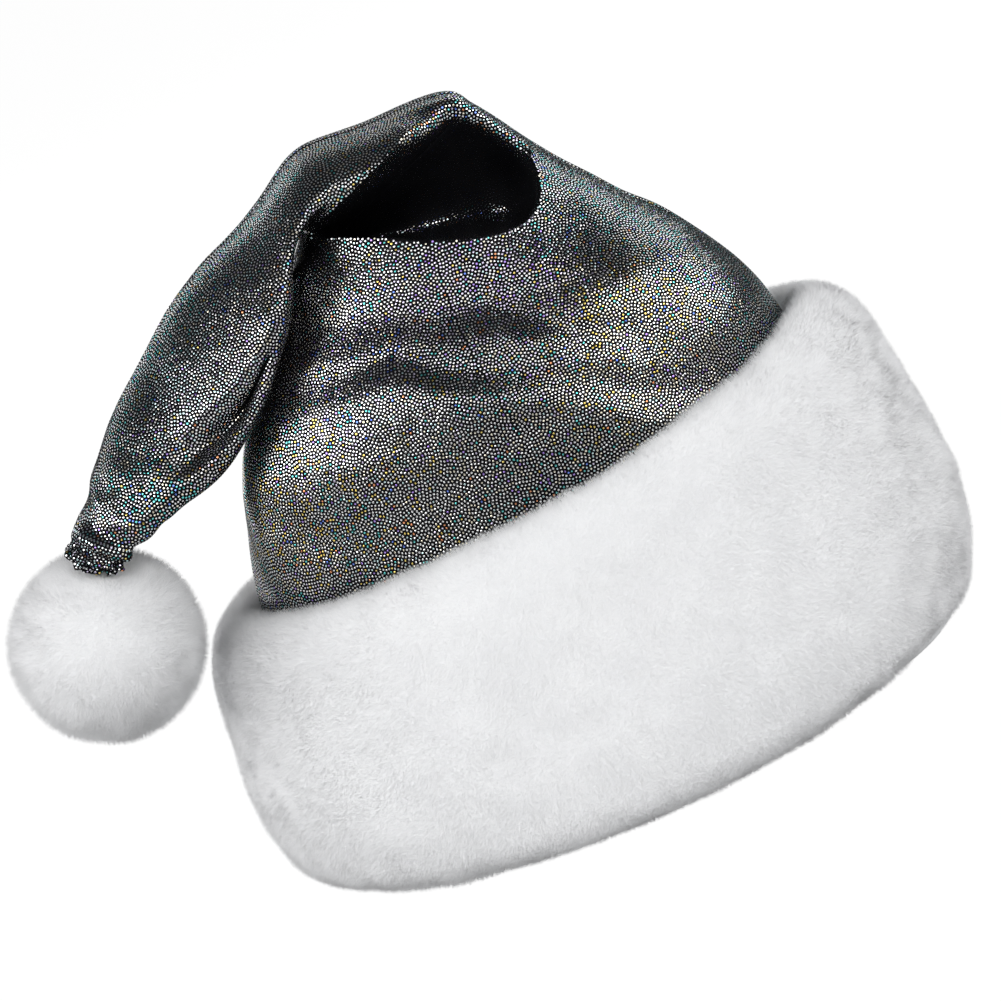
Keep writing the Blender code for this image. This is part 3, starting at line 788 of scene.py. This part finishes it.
def dot_mesh(name, centres, normals, towards, tint, random):
    """Low domes of foil, one on each centre."""
    number = len(centres)
    tilted = unit(normals + DOT_TILT * random.normal(size=(number, 3)) + towards)
    side = unit(np.cross(tilted, unit(random.normal(size=(number, 3)))))
    front = np.cross(tilted, side)
    radius = DOT_RADIUS * random.uniform(*DOT_SIZES, (number, 1))
    foot = centres + normals * DOT_LIFT
    parts = [foot + tilted * DOT_HEIGHT]
    for corner in range(DOT_SIDES):
        angle = 2 * math.pi * corner / DOT_SIDES
        parts.append(foot + (side * math.cos(angle) + front * math.sin(angle)) * radius)
    points = np.stack(parts, 1).reshape(-1, 3)
    pattern = [(0, 1 + corner, 1 + (corner + 1) % DOT_SIDES) for corner in range(DOT_SIDES)]
    piece = mesh_piece(name, points, repeated(pattern, number, 1 + DOT_SIDES), LOOKS[tint])
    return piece


def dot_facing(place, turn):
    """How the cloth's fine creases tilt the dots, beside the tail, on the right and in the dent."""
    beside_tail = bump_shape(turn, 0.5, 0.34) * ease(place, 0.8, 2.5) * (1 - ease(place, 5.3, 6.2))
    slope = bump_shape(turn, 2.42, 0.3) * bump_shape(place, 3.6, 1.5)
    hollow = np.where(turn <= np.pi, ease(dent(place, turn), 6.0, 16.0), 0.0)
    tilts = ((beside_tail, (0.0, -0.8, 0.2)), (slope, (0.0, 0.0, 0.28)), (hollow, (0.0, 0.3, -0.8)))
    return sum(amount[:, None] * np.array(direction) for amount, direction in tilts)


def build_dots():
    """Foil dots all over the crown, the tail and its gathered end."""
    steps = RELAX_STEPS
    areas = [
        ((DOTS_FROM, PANEL_END), (SEAM_MARGIN, np.pi - SEAM_MARGIN), (380, 240)),
        ((DOTS_FROM, PANEL_END), (np.pi + SEAM_MARGIN, 2 * np.pi - SEAM_MARGIN), (380, 240)),
        ((PANEL_END + 0.03, CLOTH_END - 0.15), (0.0, 2 * np.pi), (60, 240)),
    ]
    scattered = [scatter(cloth_surface, (places, turns), shape, DOT_PITCH, 40 + seed, steps)
                 for seed, (places, turns, shape) in enumerate(areas)]
    place, turn = np.concatenate(scattered, axis=1)
    random = np.random.default_rng(100)
    centres = cloth_surface(place, turn)
    normals = normals_of(cloth_surface, place, turn)
    tints = dot_tints(centres, place, turn, random)
    towards = dot_facing(place, turn)
    for part, start, end in (*CLOTH_PARTS, ("end", PANEL_END, CLOTH_END)):
        for index, tint in enumerate(FOIL_TINTS):
            chosen = (tints == index) & (place >= start) & (place < end)
            if chosen.any():
                piece = dot_mesh(f"foil_dots_{part}_{tint}", centres[chosen], normals[chosen],
                                 towards[chosen], tint, random)
                carry_part(piece, part)


# ---------------------------------------------------------------- cuff

def opening_point(angle, offset, height, slanted=0.0):
    """Points at an offset out from the head opening. slanted is 1 on the cuff's top edge."""
    around = np.stack([np.cos(angle), np.sin(angle)], -1)
    radii = np.array([OPENING_HALF_WIDTH, OPENING_HALF_DEPTH])
    flat = radii * around + unit(around / radii) * np.asarray(offset)[..., None]
    rise = height + slanted * CUFF_SLANT * flat[..., 0]
    return np.concatenate([flat, np.broadcast_to(rise, flat.shape[:-1])[..., None]], -1)


def smooth_loop(corners, share):
    """Points on a closed Catmull-Rom curve through corners, at shares from 0 to 1."""
    corners = np.array(corners, float)
    count = len(corners)
    place = (share % 1.0) * count
    first = np.floor(place).astype(int)
    part = (place - first)[:, None]
    return between(*(corners[(first + step) % count] for step in (-1, 0, 1, 2)), part)


def ring_surface(profile):
    """A surface function round the opening, from a closed profile of offset, height and slant."""
    def surface(share, angle):
        offset, height, slanted = smooth_loop(profile, share).T
        return opening_point(angle, offset, height, slanted)
    return surface


def turned_away(angle, middle):
    """Degrees from a direction round the opening, from -180 to 180."""
    return (np.degrees(angle) - middle + 180.0) % 360.0 - 180.0


def cuff_shape(points, angle):
    """How the stuffed cuff is fuller or flatter in places than an even ring."""
    total = np.zeros(len(points))
    for middle, height, wide, tall, out in CUFF_SHAPE:
        around = bump_shape(turned_away(angle, middle), 0.0, wide)
        total += out * around * bump_shape(points[:, 2], height, tall)
    return total


def cuff_surface(share, angle):
    """Foot of the cuff's pile, with its lumps and the closing seam at the back."""
    plain = ring_surface(PLUSH_PROFILE)
    points = plain(share, angle)
    outward = normals_of(plain, share, angle, 0.002)
    worn = ease(share, PLUSH_FIRST, PLUSH_FIRST + 0.12) * (1 - ease(share, PLUSH_LAST, PLUSH_LAST + 0.03))
    seam = bump_shape(points[:, 0], 0.0, CLOSING_GROOVE) * (points[:, 1] > 0)
    lift = (unevenness(points, PLUSH_LUMPS) + PLUSH_FULLNESS - CLOSING_GROOVE * seam) * worn
    lift += cuff_shape(points, angle) * ease(share, PLUSH_FIRST, PLUSH_FIRST + 0.05)
    lift += LIP_FULLNESS * bump_shape(share, LIP_SHARE, 0.05)
    points = points + outward * lift[:, None]
    lowered = TOP_DROP * (1 - ease(points[:, 0], *TOP_DROP_REACH)) + TOP_DROP_EVERYWHERE
    for middle, reach, drop in TOP_WAVES:
        lowered += drop * bump_shape(turned_away(angle, middle), 0.0, reach)
    points[:, 2] -= lowered * ease(points[:, 2], *TOP_DROP_HEIGHTS)
    return points


def pile_mesh(name, roots, normals, length, tone, random, floor=None, lean=0.0):
    """Straight needles of pile, each a three-sided spike, shaded like the surface under them."""
    number = len(roots)
    swirl = lean + PILE_DISORDER * random.normal(size=(number, 3))
    for strength, size, seed in PILE_SWIRLS:
        swirl += strength * np.stack([noise(roots, size, seed + axis) for axis in range(3)], 1)
    swirl -= normals * (swirl * normals).sum(1, keepdims=True)
    length = (length * random.uniform(*PILE_LENGTHS, number))[:, None]
    side = unit(np.cross(normals, random.normal(size=(number, 3))))
    front = np.cross(normals, side)
    parts = [roots + PILE_WIDTH * (side * math.cos(angle) + front * math.sin(angle))
             for angle in (0.0, 2 * math.pi / 3, 4 * math.pi / 3)]
    parts.append(roots + length * (PILE_UPRIGHT * normals + PILE_SWAY * swirl))
    points = np.stack(parts, 1).reshape(-1, 3)
    if floor is not None:
        points[:, 2] = np.maximum(points[:, 2], floor)
    faces = repeated([(0, 1, 3), (1, 2, 3), (2, 0, 3)], number, 4)
    piece = mesh_piece(name, points, faces, LOOKS[f"pile_{tone}"])
    shine = PILE_SHINE[0] * random.normal(size=(number, 3)) + PILE_SHINE[1] * swirl
    piece.data.normals_split_custom_set_from_vertices(np.repeat(unit(normals + shine), 4, axis=0))
    piece.visible_shadow = False
    piece.visible_diffuse = False
    return piece


def build_cuff():
    """Plush band of the cuff, with its pile."""
    share, angle = ring_grid(PLUSH_STEPS_UP, PLUSH_STEPS_ROUND)
    points = cuff_surface(share, angle)
    points[:, 2] = np.maximum(points[:, 2], PLUSH_FOOT)
    band = mesh_piece("cuff_plush_band", points,
                      grid_faces(PLUSH_STEPS_UP, PLUSH_STEPS_ROUND, True, True), LOOKS["plush"])
    stand_for(band, "hat", "cuff_plush")
    random = np.random.default_rng(7)
    pitch = PILE_PITCH * 1.0
    ranges = ((PLUSH_FIRST, PLUSH_LAST), (0.0, 2 * np.pi))
    share, angle = scatter(cuff_surface, ranges, (150, 400), pitch, 61, 0)
    roots = cuff_surface(share, angle)
    normals = normals_of(cuff_surface, share, angle)
    length = PILE_LENGTH * (0.35 + 0.65 * ease(share, PLUSH_FIRST, PLUSH_FIRST + 0.12))
    length *= 1 + 0.22 * noise(roots, 9.0, 57)
    sector = (angle / (2 * np.pi) * PILE_SECTORS).astype(int) % PILE_SECTORS
    shade = random.integers(0, len(PILE_SHADES), len(roots))
    for number, tone in itertools.product(range(PILE_SECTORS), range(len(PILE_SHADES))):
        chosen = (sector == number) & (shade == tone)
        piece = pile_mesh(f"cuff_pile_{number}_{tone}", roots[chosen], normals[chosen], length[chosen],
                          tone, random, 0.0, PILE_LEAN)
        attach(piece, "hat")


def build_wadding():
    """Wadding ring inside the cuff."""
    rows, columns = 60, 240
    points = ring_surface(WADDING_PROFILE)(*ring_grid(rows, columns))
    points += unit(points * (1, 1, 0)) * unevenness(points, WADDING_LUMPS)[:, None]
    piece = mesh_piece("cuff_wadding", points, grid_faces(rows, columns, True, True), LOOKS["wadding"])
    stand_for(piece, "hat", "cuff_padding")


def build_facing():
    """Facing cloth on the inside of the cuff."""
    rows, columns = 70, 300
    share, angle = ring_grid(rows + 1, columns)
    share = share * (rows + 1) / rows
    height = FACING_BOTTOM + (FACING_TOP - FACING_BOTTOM) * share
    points = opening_point(angle, np.full(len(share), FACING_OFFSET), height, share)
    inward = 0.4 + 0.5 * unevenness(points, FACING_RIPPLES) * np.sin(np.pi * share)
    points -= unit(points * (1, 1, 0)) * inward[:, None]
    piece = mesh_piece("cuff_facing_cloth", points, grid_faces(rows + 1, columns, False, True),
                       LOOKS["facing"])
    solidify(piece, FACING_THICKNESS, 0.0)
    stand_for(piece, "hat", "cuff_facing")


# ---------------------------------------------------------------- lining and label

def lining_surface(place, turn):
    """Bag of thin cloth inside the crown, closing towards its top seam."""
    points = plain_surface(place, turn, LINING_INSET)
    closing = np.clip((place - 1.0) / (LINING_TOP - 1.0), 0, None)
    beyond = np.clip(np.abs(points[:, 1]) - LINING_SHUT_DEPTH, 0, None) * (1 - closing ** 2)
    inside = np.minimum(np.abs(points[:, 1]), LINING_SHUT_DEPTH)
    points[:, 1] = np.sign(points[:, 1]) * (inside + beyond)
    loose = ease(place, 0.3, 1.2) * (1 - ease(place, 4.2, 4.6)) * np.abs(np.sin(turn))
    inward = loose * (LINING_SLACK + unevenness(points, LINING_RIPPLES))
    return points - unit(points * (1, 1, 0)) * inward[:, None]


def build_lining():
    """Front and back of the lining."""
    rows, columns = 90, 130
    for side, first_turn in (("front", 0.0), ("back", np.pi)):
        place, turn = panel_grid(LINING_BOTTOM, LINING_TOP, first_turn + 0.01, first_turn + np.pi - 0.01,
                                 rows, columns)
        piece = mesh_piece(f"lining_{side}_cloth", lining_surface(place, turn),
                           grid_faces(rows + 1, columns + 1), LOOKS["lining"])
        solidify(piece, LINING_THICKNESS)
        stand_for(piece, "hat", f"lining_{side}_panel")


def label_box():
    """Corners of the CAD's label, in millimetres."""
    low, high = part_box("care_label")
    return np.array(low) / MM, np.array(high) / MM


def build_label():
    """Blank satin label, folded once at its lower edge."""
    low, high = label_box()
    drops = LABEL_STEP * np.arange(LABEL_STEPS)
    column = [(-LABEL_GAP, high[2] - drop) for drop in drops]
    column += [(LABEL_GAP * math.sin(around), low[2] + LABEL_GAP * (1 - math.cos(around)))
               for around in np.linspace(-np.pi / 2, np.pi / 2, 9)]
    column += [(LABEL_GAP, high[2] - drop) for drop in drops[::-1]]
    column = np.array(column)
    across = np.linspace(-1, 1, 25)
    row, side = np.meshgrid(np.arange(len(column)), across, indexing="ij")
    row, side = row.ravel(), side.ravel()
    depth, height = column[row].T
    sag = LABEL_SAG * (1 - side ** 2) * (high[2] - height) / LABEL_LENGTH
    points = np.stack([side * (high[0] - low[0]) / 2, (low[1] + high[1]) / 2 + depth - sag, height], 1)
    piece = mesh_piece("blank_label", points, grid_faces(len(column), len(across)), LOOKS["label"])
    solidify(piece, LABEL_THICKNESS, 0.0)
    stand_for(piece, "hat", "care_label")


# ---------------------------------------------------------------- threads

def path_of_ring(offset, height, slanted, steps):
    """Points round the head opening."""
    angle = 2 * np.pi * np.arange(steps + 1) / steps
    return opening_point(angle, np.full(steps + 1, offset), height, slanted)


def spaced(points, gap):
    """Points along a path, gap apart, with the path's directions there."""
    lengths = np.linalg.norm(np.diff(points, axis=0), axis=1)
    along = np.concatenate([[0.0], np.cumsum(lengths)])
    stops = np.arange(gap / 2, along[-1], gap)
    places = np.stack([np.interp(stops, along, points[:, axis]) for axis in range(3)], 1)
    ahead = np.stack([np.interp(stops + 0.1, along, points[:, axis]) for axis in range(3)], 1)
    behind = np.stack([np.interp(stops - 0.1, along, points[:, axis]) for axis in range(3)], 1)
    return places, unit(ahead - behind)


def hat_stitches(name, path, node, look, **spacing):
    """A row of stitches that stays with the crown and the cuff and stands for one CAD node."""
    stand_for(stitches(name, path, look, **spacing), "hat", node)


def thread_sides(ahead):
    """Two directions across a thread."""
    side = unit(np.cross(ahead, ACROSS_THREAD))
    return side, np.cross(side, ahead)


def stitches(name, path, look, gap=2.6, radius=0.28, slope=0.0):
    """A row of separate stitches along a path, each a short tapered bar of thread."""
    places, ahead = spaced(path, gap)
    side, above = thread_sides(ahead)
    ahead = unit(ahead + slope * side)
    rings, corners = 7, 8
    points = []
    for ring in range(rings):
        share = 2 * ring / (rings - 1) - 1
        thick = radius * max(0.15, math.sqrt(1 - abs(share) ** 3))
        for corner in range(corners):
            angle = 2 * math.pi * corner / corners
            reach = side * math.cos(angle) + above * math.sin(angle)
            points.append(places + ahead * share * gap * STITCH_HALF_SHARE + reach * thick)
    points = np.stack(points, 1).reshape(-1, 3)
    faces = repeated(grid_faces(rings, corners, False, True), len(places), rings * corners)
    piece = mesh_piece(name, points, faces, LOOKS[look])
    fill_ends(piece)
    return piece


def twisted_thread(name, path, node, look, body, radius, closed):
    """A thick thread of three strands laid round each other."""
    places, ahead = spaced(path, STRAND_STEP)
    side, above = thread_sides(ahead)
    curve = bpy.data.curves.new(name, "CURVE")
    curve.dimensions = "3D"
    curve.bevel_depth = radius * 0.52 * MM
    curve.bevel_resolution = 2
    curve.use_fill_caps = True
    for strand in range(3):
        angle = 2 * np.pi * (np.arange(len(places)) * STRAND_STEP / STRAND_TWIST + strand / 3)
        line = places + (side * np.cos(angle)[:, None] + above * np.sin(angle)[:, None]) * radius * 0.5
        spline = curve.splines.new("POLY")
        spline.points.add(len(line) - 1)
        spline.points.foreach_set("co", np.c_[line * MM, np.ones(len(line))].astype(np.float32).ravel())
        spline.use_cyclic_u = closed
    curve.materials.append(LOOKS[look])
    made = bpy.data.objects.new(name, curve)
    bpy.context.scene.collection.objects.link(made)
    stand_for(made, body, node)


def circle_path(centre, axis, radius, steps=60):
    """Points round a circle."""
    side = unit(np.cross(axis, np.array([0.0, 1.0, 0.2])))
    front = np.cross(axis, side)
    angle = 2 * np.pi * np.arange(steps + 1) / steps
    return centre + radius * (np.cos(angle)[:, None] * side + np.sin(angle)[:, None] * front)


def build_seams():
    """Stitches of the two side seams of crown, tail and lining, and of the lining's top."""
    for label, tail_label, turn in (("left", "lower", 0.0), ("right", "upper", np.pi)):
        for part, start, end in CLOTH_PARTS:
            path = cloth_surface(np.linspace(start + 0.04, end - 0.02, 160), np.full(160, turn))
            shown = tail_label if part == "tail" else label
            piece = stitches(f"{part}_{shown}_stitches", path, "black_thread")
            carry_part(piece, part)
            if part != "fold":
                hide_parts(f"{part}_{shown}_seam")
        path = plain_surface(np.linspace(LINING_BOTTOM, LINING_TOP, 120), np.full(120, turn), LINING_INSET)
        hat_stitches(f"lining_{label}_stitches", path, f"lining_{label}_seam", "black_thread",
                     radius=FINE_STITCH)
    left, right = lining_surface(np.full(2, LINING_TOP), np.array([0.0, np.pi]))
    path = left + (right - left) * np.linspace(0.02, 0.98, 60)[:, None]
    hat_stitches("lining_top_stitches", path, "lining_top_seam", "black_thread", radius=FINE_STITCH)


def build_cuff_stitches():
    """Rows round the head opening, the cuff's closing seam and the label's row."""
    for name, node, look, offset, height, slanted, gap, slope in RING_ROWS:
        hat_stitches(name, path_of_ring(offset, height, slanted, 400), node, look, gap=gap, slope=slope)
    heights = np.linspace(6.0, 78.0, 60)
    path = opening_point(np.full(60, np.pi / 2), np.full(60, PLUSH_INSIDE - 0.8), heights)
    hat_stitches("cuff_closing_stitches", path, "cuff_closing_seam", "white_thread", slope=0.4)
    low, high = label_box()
    path = np.array([(x, low[1] - 0.35, high[2] - 1.6) for x in (low[0] + 1, high[0] - 1)])
    hat_stitches("label_stitches", path, "care_label_stitching", "white_thread", gap=1.6, radius=0.16)


def build_drawn_threads():
    """The threads that gather the tail's end and the pompom, and the one that ties them together."""
    twisted_thread("tail_gather_loop", circle_path(GATHER_LOOP, unit(GATHER_LOOP_AXIS), 3.0),
                   "tail_gather_thread", "black_thread", "tail_end", 0.45, True)
    middle = SWAY_POINT - GATHER_AXIS * COVER_THICKNESS / 2
    twisted_thread("pompom_gather_loop", circle_path(middle, GATHER_AXIS, 2.3), "pompom_gather_thread",
                   "white_thread", "pompom", 0.4, True)
    depths = np.linspace(-1.0, COVER_THICKNESS - 1.2, 20)
    twisted_thread("pompom_tie", SWAY_POINT - depths[:, None] * GATHER_AXIS, "pompom_tie_thread",
                   "black_thread", "pompom", 0.8, False)


# ---------------------------------------------------------------- pompom

def pompom_surface(angle, turn, radius=POMPOM_FOOT):
    """Foot of the pompom's pile: angle from the gathered top, turn round its axis."""
    side = unit(np.cross(GATHER_AXIS, np.array([0.0, 1.0, 0.3])))
    front = np.cross(GATHER_AXIS, side)
    dimple = np.where(angle < DIMPLE_ANGLE, np.cos(np.pi / 2 * np.minimum(angle / DIMPLE_ANGLE, 1)) ** 2, 0)
    direction = (np.sin(angle) * np.cos(turn))[:, None] * side
    direction = direction + (np.sin(angle) * np.sin(turn))[:, None] * front
    direction = direction + np.cos(angle)[:, None] * GATHER_AXIS
    lumps = unevenness(direction * radius, POMPOM_LUMPS) * ease(angle, 0.2, 0.6)
    reach = radius - (GATHER_DEPTH - 1.5) * dimple + lumps
    return POMPOM_CENTRE + direction * reach[:, None]


def ball_mesh(name, radius, first, rows, columns, look):
    """A closed ball of the pompom's shape, gathered at its top."""
    angle, turn = np.meshgrid(np.linspace(first, np.pi - 0.02, rows),
                              2 * np.pi * np.arange(columns) / columns, indexing="ij")
    piece = mesh_piece(name, pompom_surface(angle.ravel(), turn.ravel(), radius),
                       grid_faces(rows, columns, False, True), look)
    fill_ends(piece)
    return piece


def build_pompom():
    """Cover with its pile, and the filling."""
    cover = ball_mesh("pompom_plush_cover", POMPOM_FOOT, 0.06, 120, 200, LOOKS["plush"])
    stand_for(cover, "pompom", "pompom_cover")
    filling = ball_mesh("pompom_stuffing", FILLING_RADIUS, 0.1, 50, 80, LOOKS["wadding"])
    stand_for(filling, "pompom", "pompom_filling")
    random = np.random.default_rng(17)
    pitch = POMPOM_PILE_PITCH * 1.0
    ranges = ((0.16, np.pi - 0.01), (0.0, 2 * np.pi))
    angle, turn = scatter(pompom_surface, ranges, (120, 200), pitch, 63, 0)
    roots = pompom_surface(angle, turn)
    normals = unit(roots - POMPOM_CENTRE)
    length = POMPOM_PILE * (0.45 + 0.55 * ease(angle, 0.15, 0.7))
    shade = random.integers(0, len(PILE_SHADES), len(roots))
    for tone in range(len(PILE_SHADES)):
        chosen = shade == tone
        piece = pile_mesh(f"pompom_pile_{tone}", roots[chosen], normals[chosen], length[chosen],
                          tone, random)
        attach(piece, "pompom")


# ---------------------------------------------------------------- studio

def area_light(name, place, target, size, power):
    """A soft rectangular light that the camera doesn't see."""
    data = bpy.data.lights.new(name, "AREA")
    data.shape = "RECTANGLE"
    data.size, data.size_y = size
    data.energy = power
    made = bpy.data.objects.new(name, data)
    made.location = place
    made.rotation_mode = "QUATERNION"
    made.rotation_quaternion = (Vector(target) - Vector(place)).to_track_quat("-Z", "Y")
    made.visible_camera = False
    bpy.context.scene.collection.objects.link(made)


def mix_shaders(tree, share, first, second, output):
    """Mix two shaders by a share and send the mix to the output."""
    mixed = add_node(tree, "ShaderNodeMixShader")
    tree.links.new(share, mixed.inputs["Fac"])
    tree.links.new(first, mixed.inputs[1])
    tree.links.new(second, mixed.inputs[2])
    tree.links.new(mixed.outputs["Shader"], tree.nodes[output].inputs["Surface"])


def floor_material():
    """Pale floor that is seen almost as white as the surroundings, with a faint shadow."""
    made, tree, shader = new_material("floor_white", (0.8, 0.8, 0.8), 1.0, Specular_IOR_Level=0.0)
    rays = add_node(tree, "ShaderNodeLightPath")
    glow = add_node(tree, "ShaderNodeEmission", Color=(1, 1, 1, 1), Strength=FLOOR_GLOW)
    share = add_node(tree, "ShaderNodeMath", operation="MULTIPLY")
    share.inputs[1].default_value = FLOOR_GLOW_SHARE
    tree.links.new(rays.outputs["Is Camera Ray"], share.inputs[0])
    mix_shaders(tree, share.outputs["Value"], shader.outputs["BSDF"], glow.outputs["Emission"],
                "Material Output")
    return made


def build_surroundings():
    """Pale floor and white surroundings."""
    corners = FLOOR_HALF_SIZE * np.array([(-1, -1, 0), (1, -1, 0), (1, 1, 0), (-1, 1, 0)])
    floor = mesh_piece("floor", corners + (0, 0, FLOOR_HEIGHT), [(0, 1, 2, 3)], floor_material(),
                       smooth=False)
    world = bpy.data.worlds.new("studio")
    bpy.context.scene.world = world
    world.use_nodes = True
    tree = world.node_tree
    shown = tree.nodes["Background"]
    shown.inputs["Color"].default_value = (1, 1, 1, 1)
    shown.inputs["Strength"].default_value = BACKDROP_GLOW
    fill = add_node(tree, "ShaderNodeBackground", Color=(*FILL_COLOUR, 1.0), Strength=FILL_POWER)
    rays = add_node(tree, "ShaderNodeLightPath")
    mix_shaders(tree, rays.outputs["Is Camera Ray"], fill.outputs["Background"],
                shown.outputs["Background"], "World Output")


def build_lights():
    """A ring of soft panels round the hat."""
    level = PANEL_DISTANCE * math.cos(PANEL_ELEVATION)
    height = PANEL_TARGET[2] + PANEL_DISTANCE * math.sin(PANEL_ELEVATION)
    for name, azimuth, power in PANELS:
        around = math.radians(azimuth)
        place = (level * math.sin(around), -level * math.cos(around), height)
        area_light(name, place, PANEL_TARGET, PANEL_SIZE, power)


def build_camera():
    """Camera in front of the hat, raised a little and rolled."""
    low, high = CAD_BOX
    target = (low + high) / 2 + TARGET_OFFSET
    view = Vector((0.0, math.cos(CAMERA_ELEVATION), -math.sin(CAMERA_ELEVATION)))
    rise = Vector((0.0, math.sin(CAMERA_ELEVATION), math.cos(CAMERA_ELEVATION)))
    across = Vector((1.0, 0.0, 0.0))
    right = across * math.cos(CAMERA_ROLL) - rise * math.sin(CAMERA_ROLL)
    up = rise * math.cos(CAMERA_ROLL) + across * math.sin(CAMERA_ROLL)
    data = bpy.data.cameras.new("camera")
    data.sensor_width = SENSOR_WIDTH
    data.lens = SENSOR_WIDTH * CAMERA_DISTANCE / CAMERA_FIELD
    camera = bpy.data.objects.new("camera", data)
    bpy.context.scene.collection.objects.link(camera)
    turned = Matrix((right, up, -view)).transposed().to_4x4()
    camera.matrix_world = Matrix.Translation(target - view * CAMERA_DISTANCE) @ turned
    bpy.context.scene.camera = camera
    bpy.context.scene.view_settings.view_transform = "Standard"


build_surroundings()
build_lights()
build_camera()
build_cloth()
build_dots()
build_cuff()
build_wadding()
build_facing()
build_lining()
build_label()
build_seams()
build_cuff_stitches()
build_drawn_threads()
build_pompom()
